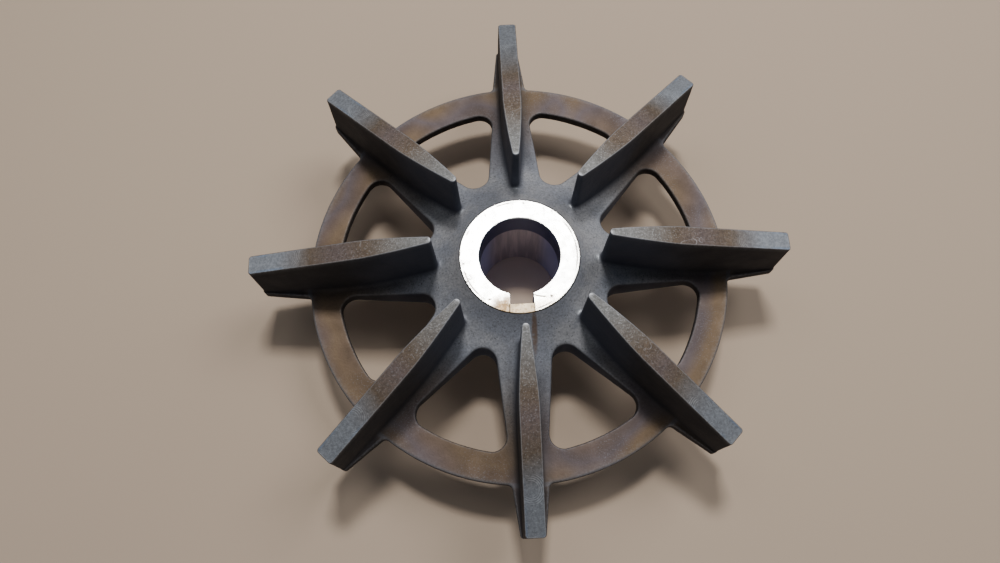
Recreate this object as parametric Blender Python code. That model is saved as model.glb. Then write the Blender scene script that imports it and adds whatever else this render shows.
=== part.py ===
"""Cast pump impeller: a dished open web on a keyed hub, with eight radial vanes.

One casting, built as one solid. Z is the shaft axis, the hub stands on its
lower face at z = 0, and the keyway points along -Y, in line with a vane.
All sizes are in metres.
"""
import math

import bmesh
import bpy

MM = 0.001

# Shaft seat
BORE_RADIUS = 14.0 * MM
BORE_CHAMFER = 0.5 * MM
KEYWAY_WIDTH = 8.0 * MM
KEYWAY_DEPTH = 3.3 * MM

# Hub, with a lower boss under the web
HUB_LENGTH = 40.0 * MM
HUB_FACE_RADIUS = 20.9 * MM
BOSS_RADIUS = 21.0 * MM
BOSS_TOP_RADIUS = 22.0 * MM
BOSS_FILLET = 4.0 * MM
BOSS_CHAMFER = 0.8 * MM

# Web: a flat ring, a cone inside it, and a flare that lifts the cone to the hub face
FACE_ABOVE_RING = 16.3 * MM
WEB_THICKNESS = 4.0 * MM
RING_RADIUS = 75.9 * MM
CONE_RADIUS = 65.6 * MM
CONE_SLOPE = 0.245
FLARE_RADIUS = 30.0 * MM

# Openings between the spokes
OPENING_OUTER_RADIUS = 65.66 * MM
OPENING_CORNER = 5.0 * MM
OPENING_NOSE = 5.2 * MM
SPOKE_HALF_WIDTH = 8.1 * MM
SPOKE_HALF_WIDTH_AT = 50.0 * MM
SPOKE_TAPER = 0.09

# Gussets: the spokes carried on past the ring, under the vanes
GUSSET_END_RADIUS = 92.9 * MM
GUSSET_ROOT_HALF_WIDTH = 6.4 * MM
GUSSET_END_HALF_WIDTH = 4.2 * MM
GUSSET_CORNER = 1.7 * MM
GUSSET_FILLET = 1.8 * MM

# Vanes, as radius and half-width of the top, from the nose outwards
VANE_COUNT = 8
VANE_INNER_RADIUS = 29.05 * MM
VANE_OUTER_RADIUS = 92.7 * MM
VANE_NOSE_HALF_WIDTH = 1.2 * MM
VANE_WIDENING = ((35.5 * MM, 1.8 * MM), (46.0 * MM, 2.7 * MM), (55.0 * MM, 3.2 * MM))
VANE_CORNER = 0.8 * MM
VANE_TOP_ABOVE_RING = 34.9 * MM
VANE_TOP_SLOPE = 0.262
VANE_DRAFT = 0.02

# Facets
TURN_STEPS = 96
CORNER_STEPS = 6
FLARE_STEPS = 6

RING_TOP = HUB_LENGTH - FACE_ABOVE_RING
UNDERSIDE = RING_TOP - WEB_THICKNESS
CLEARANCE = 3.0 * MM
PITCH = 2.0 * math.pi / VANE_COUNT


def clear_scene():
    """Remove every object of the open scene."""
    for item in list(bpy.data.objects):
        bpy.data.objects.remove(item, do_unlink=True)


def arc(centre, radius, start, end, steps):
    """Points of an arc between two angles, both ends included."""
    points = []
    for step in range(steps + 1):
        angle = start + (end - start) * step / steps
        x = centre[0] + radius * math.cos(angle)
        y = centre[1] + radius * math.sin(angle)
        points.append((x, y))
    return points


def turned(points, angle):
    """The same plan points, turned about the shaft axis."""
    cosine = math.cos(angle)
    sine = math.sin(angle)
    return [(x * cosine - y * sine, x * sine + y * cosine) for x, y in points]


def mesh_object(name, shape):
    """Turn a bmesh into an object of the scene, with its faces outwards."""
    bmesh.ops.recalc_face_normals(shape, faces=shape.faces)
    mesh = bpy.data.meshes.new(name)
    shape.to_mesh(mesh)
    shape.free()
    made = bpy.data.objects.new(name, mesh)
    bpy.context.scene.collection.objects.link(made)
    return made


def join_loops(shape, here, there):
    """Close the band between two loops of the same length with quads."""
    count = len(here)
    for i in range(count):
        j = (i + 1) % count
        shape.faces.new((here[i], here[j], there[j], there[i]))


def flare():
    """Points of the arc between the hub face and the web's cone, from the face down."""
    lean = math.atan(CONE_SLOPE)
    low, high = HUB_FACE_RADIUS, CONE_RADIUS
    for _ in range(60):
        foot = (low + high) / 2.0
        centre_r = foot + FLARE_RADIUS * math.sin(lean)
        centre_z = RING_TOP + CONE_SLOPE * (CONE_RADIUS - foot) + FLARE_RADIUS * math.cos(lean)
        reach = math.hypot(centre_r - HUB_FACE_RADIUS, centre_z - HUB_LENGTH)
        if reach > FLARE_RADIUS:
            high = foot
        else:
            low = foot
    head_angle = math.atan2(HUB_LENGTH - centre_z, HUB_FACE_RADIUS - centre_r)
    foot_angle = -math.pi / 2.0 - lean
    return arc((centre_r, centre_z), FLARE_RADIUS, head_angle, foot_angle, FLARE_STEPS)


def turned_section():
    """The hub and web blank as radius and height, round the section in one direction."""
    blank_radius = GUSSET_END_RADIUS + CLEARANCE
    boss_centre = (BOSS_TOP_RADIUS + BOSS_FILLET, UNDERSIDE - BOSS_FILLET)
    section = [(BORE_RADIUS + BORE_CHAMFER, HUB_LENGTH)]
    section += flare()
    section += [(CONE_RADIUS, RING_TOP), (blank_radius, RING_TOP), (blank_radius, UNDERSIDE)]
    section += arc(boss_centre, BOSS_FILLET, math.pi / 2.0, math.pi, 4)
    section += [(BOSS_RADIUS, BOSS_CHAMFER), (BOSS_RADIUS - BOSS_CHAMFER, 0.0)]
    section += [(BORE_RADIUS + BORE_CHAMFER, 0.0), (BORE_RADIUS, BORE_CHAMFER)]
    section += [(BORE_RADIUS, HUB_LENGTH - BORE_CHAMFER)]
    return section


def turned_blank(name):
    """The section turned about the shaft axis."""
    section = turned_section()
    shape = bmesh.new()
    loops = []
    for step in range(TURN_STEPS):
        angle = 2.0 * math.pi * step / TURN_STEPS
        cosine = math.cos(angle)
        sine = math.sin(angle)
        loops.append([shape.verts.new((r * cosine, r * sine, z)) for r, z in section])
    for step in range(TURN_STEPS):
        join_loops(shape, loops[step], loops[(step + 1) % TURN_STEPS])
    return mesh_object(name, shape)


def add_prism(shape, lower, floor, upper, tops):
    """Add one closed prism between a lower and an upper outline.

    Args:
        shape: the bmesh that takes the prism.
        lower: plan points of the lower outline.
        floor: height of the lower outline.
        upper: plan points of the upper outline, one for each lower point.
        tops: height of each upper point.
    """
    base = [shape.verts.new((x, y, floor)) for x, y in lower]
    head = [shape.verts.new((x, y, z)) for (x, y), z in zip(upper, tops)]
    shape.faces.new(base)
    shape.faces.new(head)
    join_loops(shape, base, head)


def straight_prisms(name, outlines, floor, top):
    """One object of straight prisms over the given plan outlines."""
    shape = bmesh.new()
    for outline in outlines:
        add_prism(shape, outline, floor, outline, [top] * len(outline))
    return mesh_object(name, shape)


def opening_outline():
    """Plan outline of the opening whose middle lies on the X axis.

    Each side is the edge of a spoke half a pitch away. The nose near the hub
    is an arc between the two sides, and the outer corners are arcs between a
    side and the outer circle.
    """
    half = PITCH / 2.0
    lean = half + math.atan(SPOKE_TAPER)
    offset = SPOKE_HALF_WIDTH + SPOKE_TAPER * SPOKE_HALF_WIDTH_AT
    apex = offset / (math.sin(half) + SPOKE_TAPER * math.cos(half))
    side_normal = lean + math.pi / 2.0
    nose_centre = (apex + OPENING_NOSE / math.sin(lean), 0.0)
    corner_reach = OPENING_OUTER_RADIUS - OPENING_CORNER
    inset = OPENING_CORNER + apex * math.sin(lean)
    bearing = lean - math.asin(inset / corner_reach)
    corner_centre = (corner_reach * math.cos(bearing), corner_reach * math.sin(bearing))
    upper = arc((0.0, 0.0), OPENING_OUTER_RADIUS, 0.0, bearing, 5)
    upper += arc(corner_centre, OPENING_CORNER, bearing, side_normal, CORNER_STEPS)[1:]
    upper += arc(nose_centre, OPENING_NOSE, side_normal, math.pi, CORNER_STEPS)
    lower = [(x, -y) for x, y in reversed(upper[1:-1])]
    return upper + lower


def gusset_side():
    """One side of a gusset on the X axis, from the ring out to the end, and its bearing."""
    root_x = math.sqrt(RING_RADIUS ** 2 - GUSSET_ROOT_HALF_WIDTH ** 2)
    lean = math.atan2(GUSSET_ROOT_HALF_WIDTH - GUSSET_END_HALF_WIDTH, GUSSET_END_RADIUS - root_x)
    fillet_reach = RING_RADIUS + GUSSET_FILLET
    side_reach = root_x * math.sin(lean) + GUSSET_ROOT_HALF_WIDTH * math.cos(lean)
    bearing = math.pi / 2.0 - lean - math.acos((side_reach + GUSSET_FILLET) / fillet_reach)
    fillet_centre = (fillet_reach * math.cos(bearing), fillet_reach * math.sin(bearing))
    corner_x = GUSSET_END_RADIUS - GUSSET_CORNER
    corner_y = GUSSET_END_HALF_WIDTH - GUSSET_CORNER * (1.0 / math.cos(lean) - math.tan(lean))
    side = arc(fillet_centre, GUSSET_FILLET, bearing - math.pi, -math.pi / 2.0 - lean, 4)
    side += arc((corner_x, corner_y), GUSSET_CORNER, math.pi / 2.0 - lean, 0.0, 4)
    return side, bearing


def rim_outline():
    """Plan outline of the ring and its gussets."""
    side, bearing = gusset_side()
    gusset = [(x, -y) for x, y in side] + list(reversed(side))
    outline = []
    for index in range(VANE_COUNT):
        start = index * PITCH
        outline += turned(gusset, start)
        outline += arc((0.0, 0.0), RING_RADIUS, start + bearing, start + PITCH - bearing, 10)[1:-1]
    return outline


def outer_waste():
    """The blank's waste outside the ring and gussets, as a cutter."""
    inner = rim_outline()
    reach = GUSSET_END_RADIUS + 3.0 * CLEARANCE
    outer = [(reach * x / math.hypot(x, y), reach * y / math.hypot(x, y)) for x, y in inner]
    floor = UNDERSIDE - CLEARANCE
    top = RING_TOP + CLEARANCE
    shape = bmesh.new()
    loops = []
    for outline, height in ((inner, floor), (outer, floor), (outer, top), (inner, top)):
        loops.append([shape.verts.new((x, y, height)) for x, y in outline])
    for level in range(4):
        join_loops(shape, loops[level], loops[(level + 1) % 4])
    return mesh_object("outer_waste", shape)


def openings():
    """The web openings as one cutter."""
    outline = opening_outline()
    outlines = [turned(outline, (index + 0.5) * PITCH) for index in range(VANE_COUNT)]
    return straight_prisms("openings", outlines, UNDERSIDE - CLEARANCE, HUB_LENGTH + CLEARANCE)


def keyway():
    """The keyway as a cutter, from inside the bore out to its floor."""
    half = KEYWAY_WIDTH / 2.0
    floor_at = BORE_RADIUS + KEYWAY_DEPTH
    mouth_at = BORE_RADIUS / 2.0
    outline = [(-half, -floor_at), (half, -floor_at), (half, -mouth_at), (-half, -mouth_at)]
    return straight_prisms("keyway", [outline], -CLEARANCE, HUB_LENGTH + CLEARANCE)


def vane_outline():
    """Plan outline of a vane's top on the X axis, anticlockwise from its outer end."""
    half_width = VANE_WIDENING[-1][1]
    corner_centre = (VANE_OUTER_RADIUS - VANE_CORNER, half_width - VANE_CORNER)
    nose_centre = (VANE_INNER_RADIUS + VANE_NOSE_HALF_WIDTH, 0.0)
    upper = arc(corner_centre, VANE_CORNER, 0.0, math.pi / 2.0, 3)
    upper += list(reversed(VANE_WIDENING))
    upper += arc(nose_centre, VANE_NOSE_HALF_WIDTH, math.pi / 2.0, math.pi, 4)
    lower = [(x, -y) for x, y in reversed(upper[:-1])]
    return upper + lower


def vane_top(radius):
    """Height of a vane's sloping top at a distance from the shaft axis."""
    return RING_TOP + VANE_TOP_ABOVE_RING - VANE_TOP_SLOPE * (radius - VANE_INNER_RADIUS)


def vanes():
    """All vanes as one object; their feet are buried in the web."""
    floor = UNDERSIDE + WEB_THICKNESS / 2.0
    upper = vane_outline()
    tops = [vane_top(x) for x, y in upper]
    lower = []
    for (x, y), top in zip(upper, tops):
        spread = VANE_DRAFT * (top - floor)
        if x < VANE_INNER_RADIUS + VANE_NOSE_HALF_WIDTH:
            x -= spread * (1.0 - abs(y) / VANE_NOSE_HALF_WIDTH)
        if abs(y) > 0.1 * MM:
            y += math.copysign(spread, y)
        lower.append((x, y))
    shape = bmesh.new()
    for index in range(VANE_COUNT):
        angle = index * PITCH
        add_prism(shape, turned(lower, angle), floor, turned(upper, angle), tops)
    return mesh_object("vanes", shape)


def combine(body, other, operation):
    """Add a Boolean step to the body and hide the object it uses."""
    step = body.modifiers.new(other.name, "BOOLEAN")
    step.object = other
    step.operation = operation
    step.solver = "EXACT"
    other.hide_render = True
    other.display_type = "WIRE"


def stainless_casting():
    """Heat-tinted cast stainless steel."""
    material = bpy.data.materials.new("cast_stainless")
    material.use_nodes = True
    shader = material.node_tree.nodes["Principled BSDF"]
    shader.inputs["Base Color"].default_value = (0.30, 0.28, 0.26, 1.0)
    shader.inputs["Roughness"].default_value = 0.42
    shader.inputs["Metallic"].default_value = 1.0
    return material


def impeller():
    """Build the casting: turned blank, trimmed, pierced, keyed and given its vanes."""
    body = turned_blank("impeller_casting")
    combine(body, outer_waste(), "DIFFERENCE")
    combine(body, openings(), "DIFFERENCE")
    combine(body, keyway(), "DIFFERENCE")
    combine(body, vanes(), "UNION")
    body.data.materials.append(stainless_casting())
    body.data.shade_smooth()
    body.data.set_sharp_from_angle(angle=math.radians(30.0))


clear_scene()
impeller()
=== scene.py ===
"""Looks of the pump impeller: one cast stainless wheel with a turned, keyed hub.

The casting is modelled as one closed mesh. Half of one vane pitch is built from
nested outlines (vane, opening and rim), mirrored, and repeated round the shaft
by Geometry Nodes. The hub's keyed core is turned as a full ring and welded in.
Sizes in the classes are millimetres; meshes are metres.
"""
from __future__ import annotations

import logging
import math
from collections.abc import Callable
from dataclasses import dataclass, field
from enum import Enum
from functools import partial, reduce
from typing import Union

import bmesh
import bpy
import numpy as np
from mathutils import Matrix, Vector, noise
from mathutils.geometry import delaunay_2d_cdt

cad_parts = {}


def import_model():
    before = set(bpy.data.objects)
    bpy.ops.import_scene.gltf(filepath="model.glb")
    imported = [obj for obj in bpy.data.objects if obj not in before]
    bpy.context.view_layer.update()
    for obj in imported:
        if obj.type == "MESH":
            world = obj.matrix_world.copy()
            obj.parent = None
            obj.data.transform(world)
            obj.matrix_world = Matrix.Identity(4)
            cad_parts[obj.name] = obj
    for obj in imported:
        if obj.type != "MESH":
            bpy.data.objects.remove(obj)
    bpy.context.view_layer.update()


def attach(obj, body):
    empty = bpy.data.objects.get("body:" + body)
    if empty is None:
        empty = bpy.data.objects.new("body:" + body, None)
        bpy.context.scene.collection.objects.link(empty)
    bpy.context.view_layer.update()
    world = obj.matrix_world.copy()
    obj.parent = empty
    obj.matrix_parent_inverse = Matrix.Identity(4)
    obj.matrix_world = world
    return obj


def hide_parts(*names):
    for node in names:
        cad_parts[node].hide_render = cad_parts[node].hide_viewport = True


LOG = logging.getLogger("impeller")
MM = 0.001
NODE = "impeller_casting"
VANES = 8

Point2 = tuple[float, float]
Point3 = tuple[float, float, float]
Colour = tuple[float, float, float]
Socket = bpy.types.NodeSocket
Feed = Union[Socket, float, Colour]
HeightRule = Callable[[np.ndarray], np.ndarray]


class Skin(Enum):
    """The finishes of the casting, in the order of its material slots."""

    CAST = 0
    MILLED = 1
    TURNED = 2
    BORE = 3


class Layer(str, Enum):
    """Names of the point attributes that the finishes read."""

    WEAR = "wear"
    ROUGH = "rough_cast"
    SIDE = "vane_side"
    ALONG = "along_vane"
    ACROSS = "across_vane"
    BESIDE = "beside_vane"


@dataclass
class Ring:
    """A row of mesh points: their indices, with their plan places in millimetres."""

    index: list[int]
    place: np.ndarray

    def first(self, count: int) -> Ring:
        """The first points of the row."""
        return Ring(self.index[:count], self.place[:count])


@dataclass
class Patchwork:
    """A mesh under construction, as arrays of points, faces and layers."""

    points: list[Point3] = field(default_factory=list)
    layers: list[Point3] = field(default_factory=list)
    faces: list[tuple[int, ...]] = field(default_factory=list)
    skins: list[int] = field(default_factory=list)
    least_area: float = 1e-5
    merging: float = 1e-7

    def ring(self, plan: np.ndarray, heights: np.ndarray | float, wear: float = 0.0,
             rough: float = 1.0, side: float = 0.0) -> Ring:
        """Add one row of points.

        Args:
            plan: plan places, one row for each point.
            heights: height of each point, or of all of them.
            wear: how far rubbing has polished the row.
            rough: how much of the cast skin's unevenness the row takes.
            side: 1 on the upright sides of the vanes.

        Returns:
            The new row.
        """
        first = len(self.points)
        heights = np.broadcast_to(heights, (len(plan),))
        for (x, y), z in zip(plan, heights):
            self.points.append((float(x), float(y), float(z)))
            self.layers.append((wear, rough, side))
        return Ring(list(range(first, first + len(plan))), np.array(plan, float))

    def band(self, lower: Ring, upper: Ring, skin: Skin, closed: bool) -> None:
        """Close the strip between two rows of the same length with quads.

        Args:
            lower: the row on the right hand of the walk along the band.
            upper: the row on its left hand.
            skin: finish of the strip.
            closed: whether the rows are loops.
        """
        count = len(lower.index)
        for i in range(count if closed else count - 1):
            j = (i + 1) % count
            self.add_face((lower.index[i], lower.index[j], upper.index[j], upper.index[i]), skin)

    def bands(self, rows: list[Ring], skin: Skin, first: Skin | None = None, last: Skin | None = None,
              inward: bool = False, closed: bool = False) -> None:
        """Close the strips between neighbouring rows.

        Args:
            rows: the rows from the top down; where one is longer, its end is left over.
            skin: finish of the strips.
            first: finish of the first strip, where it differs.
            last: finish of the last strip, where it differs.
            inward: whether the metal lies outside the rows, as round an opening.
            closed: whether the rows are loops.
        """
        finishes = [skin] * (len(rows) - 1)
        finishes[0] = first or skin
        finishes[-1] = last or finishes[-1]
        for upper, lower, finish in zip(rows, rows[1:], finishes):
            count = min(len(upper.index), len(lower.index))
            pair = (upper.first(count), lower.first(count))
            if inward:
                pair = pair[::-1]
            self.band(*pair, finish, closed)

    def add_face(self, face: tuple[int, ...], skin: Skin) -> None:
        """Add one face, leaving out corners that are the same point.

        Args:
            face: point indices of the corners.
            skin: finish of the face.
        """
        kept = tuple(corner for i, corner in enumerate(face) if corner != face[i - 1])
        if len(kept) > 2:
            self.faces.append(kept)
            self.skins.append(skin.value)

    def fill(self, outline: list[int], flat: np.ndarray, skin: Skin, inside: np.ndarray | None = None,
             heights: np.ndarray | None = None, holes: tuple[Ring, ...] = (), flip: bool = False,
             rough: float = 1.0) -> None:
        """Triangulate the region inside an outline.

        Args:
            outline: point indices of the outline, anticlockwise.
            flat: plan place of each outline point.
            skin: finish of the region.
            inside: plan places of extra points inside the region.
            heights: heights of the extra points.
            holes: the rows of points round each hole.
            flip: whether the region faces down.
            rough: how much unevenness the extra points take.
        """
        loops = [list(outline), *[list(hole.index) for hole in holes]]
        flats = [np.asarray(flat, float), *[hole.place for hole in holes]]
        index = [corner for loop in loops for corner in loop]
        places = np.concatenate(flats)
        edges = []
        start = 0
        for loop in loops:
            edges += [(start + i, start + (i + 1) % len(loop)) for i in range(len(loop))]
            start += len(loop)
        if inside is not None and len(inside):
            row = self.ring(inside, heights, rough=rough)
            index += row.index
            places = np.concatenate([places, row.place])
        made = delaunay_2d_cdt([Vector(p) for p in places], edges, [], 0, self.merging, True)
        chosen = np.array([[made[3][corner][0] for corner in triangle] for triangle in made[2]])
        a, b, c = (places[chosen[:, k]] for k in range(3))
        area = (b[:, 0] - a[:, 0]) * (c[:, 1] - a[:, 1]) - (b[:, 1] - a[:, 1]) * (c[:, 0] - a[:, 0])
        centres = (a + b + c) / 3.0
        keep = (area > self.least_area) & winding(centres, flats[0])
        for hole in flats[1:]:
            keep &= ~winding(centres, hole)
        for triangle in chosen[keep]:
            face = tuple(index[corner] for corner in triangle)
            self.add_face(face[::-1] if flip else face, skin)

    def mirrored(self) -> None:
        """Add the mirror image of everything across the X axis."""
        first = len(self.points)
        self.points += [(x, -y, z) for x, y, z in self.points]
        self.layers += list(self.layers)
        self.faces += [tuple(first + c for c in reversed(face)) for face in self.faces]
        self.skins += list(self.skins)

    def to_mesh(self, name: str) -> bpy.types.Mesh:
        """Make a Blender mesh in metres, with the layers as point attributes.

        Args:
            name: the mesh's name.

        Returns:
            The mesh, smooth all over.
        """
        mesh = bpy.data.meshes.new(name)
        mesh.from_pydata([(x * MM, y * MM, z * MM) for x, y, z in self.points], [], self.faces)
        mesh.polygons.foreach_set("material_index", self.skins)
        layers = np.array(self.layers, np.float32)
        points = np.array(self.points, np.float32)
        values = {
            Layer.WEAR: layers[:, 0],
            Layer.ROUGH: layers[:, 1],
            Layer.SIDE: layers[:, 2],
            Layer.ALONG: points[:, 0],
            Layer.ACROSS: points[:, 1],
            Layer.BESIDE: np.abs(points[:, 1]),
        }
        for layer, value in values.items():
            attribute = mesh.attributes.new(layer.value, "FLOAT", "POINT")
            attribute.data.foreach_set("value", np.ascontiguousarray(value))
        mesh.polygons.foreach_set("use_smooth", [True] * len(mesh.polygons))
        mesh.update()
        return mesh


def winding(spots: np.ndarray, outline: np.ndarray) -> np.ndarray:
    """Whether each spot lies inside a closed outline.

    Args:
        spots: plan places to test.
        outline: corners of the outline.

    Returns:
        One truth value for each spot.
    """
    result = np.zeros(len(spots), bool)
    x, y = spots[:, 0], spots[:, 1]
    for (x0, y0), (x1, y1) in zip(outline, np.roll(outline, -1, axis=0)):
        if y0 == y1:
            continue
        crosses = (y0 > y) != (y1 > y)
        result ^= crosses & (x < (x1 - x0) * (y - y0) / (y1 - y0) + x0)
    return result


def distance_to(spots: np.ndarray, outline: np.ndarray) -> np.ndarray:
    """Shortest distance from each spot to a closed outline.

    Args:
        spots: plan places to measure from.
        outline: corners of the outline.

    Returns:
        One distance for each spot.
    """
    best = np.full(len(spots), np.inf)
    for start, end in zip(outline, np.roll(outline, -1, axis=0)):
        run = end - start
        length = float(run @ run)
        share = np.clip(((spots - start) @ run) / max(length, 1e-12), 0.0, 1.0)
        gap = spots - (start + share[:, None] * run)
        best = np.minimum(best, np.hypot(gap[:, 0], gap[:, 1]))
    return best


def grid_inside(outline: np.ndarray, spacing: float, margin: float) -> np.ndarray:
    """Points of a triangular grid inside an outline.

    Args:
        outline: corners of the outline.
        spacing: distance between neighbouring points.
        margin: least distance to the outline.

    Returns:
        Plan places of the points.
    """
    low, high = outline.min(0), outline.max(0)
    rows = []
    step = spacing * math.sqrt(3.0) / 2.0
    for k, y in enumerate(np.arange(low[1], high[1], step)):
        shift = spacing / 2.0 if k % 2 else 0.0
        rows += [(x + shift, y) for x in np.arange(low[0], high[0], spacing)]
    spots = np.array(rows)
    spots = spots[winding(spots, outline)]
    return spots[distance_to(spots, outline) > margin]


def swept(centre: Point2, radius: float, start: float, end: float,
          count: int) -> tuple[np.ndarray, np.ndarray]:
    """Points of an arc and their outward directions.

    Args:
        centre: centre of the arc.
        radius: its radius.
        start: first angle, in radians.
        end: last angle.
        count: number of steps.

    Returns:
        The points, and a unit vector away from the centre for each.
    """
    angles = np.linspace(start, end, count + 1)
    out = np.stack([np.cos(angles), np.sin(angles)], 1)
    return np.array(centre) + radius * out, out


def quarter_round(steps: int) -> list[Point2]:
    """Shares of a rounded edge's radius, from the flat face round to the wall.

    Args:
        steps: number of steps round the edge.

    Returns:
        How far in from the wall and how far down from the face each point lies.
    """
    angles = [math.pi / 2.0 * step / steps for step in range(steps + 1)]
    return [(1.0 - math.sin(angle), 1.0 - math.cos(angle)) for angle in angles]


def between(start: np.ndarray, end: np.ndarray, spacing: float) -> np.ndarray:
    """Points of a straight line between two ends, without the ends.

    Args:
        start: plan place of the first end.
        end: plan place of the other end.
        spacing: distance between the points, which is adjusted to fit.

    Returns:
        Plan places of the points.
    """
    count = max(1, round(float(np.linalg.norm(end - start)) / spacing))
    shares = np.linspace(0.0, 1.0, count + 1)[1:-1, None]
    return start + shares * (end - start)


def turned(plan: np.ndarray, angle: float) -> np.ndarray:
    """Plan places turned about the shaft axis."""
    cosine, sine = math.cos(angle), math.sin(angle)
    return plan @ np.array([[cosine, sine], [-sine, cosine]])


@dataclass
class Outline:
    """A row of plan places with two sets of directions.

    The outward directions are square to the outline. The sideways ones are the
    same except at the turned end, where they stay in the plane of the end face.
    """

    place: np.ndarray
    out: np.ndarray
    side: np.ndarray
    turn: int = 0

    def moved(self, distance: float | np.ndarray) -> np.ndarray:
        """The outline moved square to itself."""
        return self.place + self.out * np.reshape(distance, (-1, 1))

    def slid(self, distance: float | np.ndarray) -> np.ndarray:
        """The outline moved sideways, without the part that runs along the end face."""
        moves = self.side[:self.turn] * np.reshape(np.broadcast_to(distance, (self.turn,)), (-1, 1))
        return self.place[:self.turn] + moves


def with_end(place: np.ndarray, out: np.ndarray, corner: float, outer: float, lean: float,
             steps: int = 5) -> Outline:
    """Round an outline's last corner and run it along the end face to the axis.

    Args:
        place: plan places up to the corner.
        out: outward directions of the places.
        corner: radius of the corner.
        outer: how far out the end face lies.
        lean: how far the side before the corner leans in, in radians.
        steps: number of steps round the corner.

    Returns:
        The whole outline.
    """
    centre = (outer - corner, float(place[-1, 1]) - corner * math.cos(lean))
    arc, arc_out = swept(centre, corner, math.pi / 2.0 - lean, 0.0, steps)
    arc[:, 0] = np.minimum(arc[:, 0], outer)
    end = np.array([[outer, centre[1] * share] for share in (0.67, 0.33, 0.0)])
    joined = np.concatenate([place, arc[1:], end])
    square = np.concatenate([out, arc_out[1:], [[1.0, 0.0]] * len(end)])
    side = square.copy()
    side[len(place):] = (0.0, 1.0)
    return Outline(joined, square, side, len(place) + len(arc) - 1)


@dataclass
class WebForm:
    """The turned faces of the web: flat ring, cone and flare above, flat underside."""

    underside: float = 19.7
    ring_top: float = 23.7
    hub_top: float = 40.0
    weld_radius: float = 21.05
    boss_radius: float = 26.0
    cone_radius: float = 65.6
    cone_slope: float = 0.245
    cone_blend: float = 2.0
    flare_radius: float = 30.0
    flare_foot: float = 36.0

    def height(self, plan: np.ndarray) -> np.ndarray:
        """Height of the web's upper face.

        Args:
            plan: plan places.

        Returns:
            The height at each place.
        """
        radius = np.hypot(plan[:, 0], plan[:, 1])
        run = self.cone_radius - radius
        cone = self.cone_slope * (run + np.sqrt(run * run + self.cone_blend ** 2)) / 2.0
        lean = math.atan(self.cone_slope)
        centre_r = self.flare_foot + self.flare_radius * math.sin(lean)
        centre_z = self.cone_slope * (self.cone_radius - self.flare_foot) + self.flare_radius * math.cos(lean)
        drop = np.sqrt(np.maximum(self.flare_radius ** 2 - (centre_r - radius) ** 2, 0.0))
        flare = centre_z - drop
        return self.ring_top + np.where(radius < self.flare_foot, flare, cone)

    def low(self, plan: np.ndarray) -> np.ndarray:
        """Height of the flat underside at plan places."""
        return np.full(len(plan), self.underside)


@dataclass
class Vane:
    """One straight radial vane on the X axis, with drafted sides and a milled top."""

    inner: float = 29.05
    outer: float = 92.85
    nose: float = 1.2
    nose_steps: int = 6
    half_width: float = 3.3
    widens_to: float = 55.0
    widening: float = 1.5
    top: float = 58.6
    slope: float = 0.262
    draft: float = 0.02
    edge: float = 0.24
    edge_inset: float = 0.15
    edge_side: float = 1.0 / 6.0
    nose_roll: float = 0.22
    nose_roll_length: float = 3.2
    corner: float = 1.0
    foot: float = 1.7
    foot_tapers_from: float = 74.0
    foot_at_end: float = 0.15
    worn_wall: float = 0.35
    rough_after: float = 3.0
    spacing: float = 1.15

    def outline(self) -> Outline:
        """Half outline of the top.

        Returns:
            The outline from the nose out to the end, with outward directions.
        """
        centre_x = self.inner + self.nose
        lean = math.atan(self.widening * (self.half_width - self.nose) / (self.widens_to - centre_x))
        nose, nose_out = swept((centre_x, 0.0), self.nose, math.pi, math.pi / 2.0 + lean, self.nose_steps)
        last = self.outer - self.corner
        xs = np.linspace(nose[-1, 0], last, round((last - nose[-1, 0]) / self.spacing) + 1)[1:]
        share = np.clip((self.widens_to - xs) / (self.widens_to - centre_x), 0.0, 1.0)
        ys = self.half_width - (self.half_width - self.nose) * share ** self.widening
        rate = self.widening * (self.half_width - self.nose) / (self.widens_to - centre_x)
        rate = rate * share ** (self.widening - 1.0)
        out = np.stack([-rate, np.ones_like(rate)], 1) / np.sqrt(1.0 + rate ** 2)[:, None]
        place = np.concatenate([nose, np.stack([xs, ys], 1)])
        return with_end(place, np.concatenate([nose_out, out]), self.corner, self.outer, 0.0)

    def top_height(self, xs: np.ndarray) -> np.ndarray:
        """Height of the sloping top, which rolls off a little at the nose.

        Args:
            xs: distances from the shaft axis.

        Returns:
            The height at each distance.
        """
        plane = self.top - self.slope * (xs - self.inner)
        near = np.clip(1.0 - (xs - self.inner) / self.nose_roll_length, 0.0, 1.0)
        return plane - self.nose_roll * near ** 2

    def foot_radius(self, xs: np.ndarray) -> np.ndarray:
        """Radius of the fillet at the vane's foot, at distances from the shaft axis."""
        share = np.clip((xs - self.foot_tapers_from) / (self.outer - self.foot_tapers_from), 0.0, 1.0)
        return self.foot + (self.foot_at_end - self.foot) * share


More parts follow.
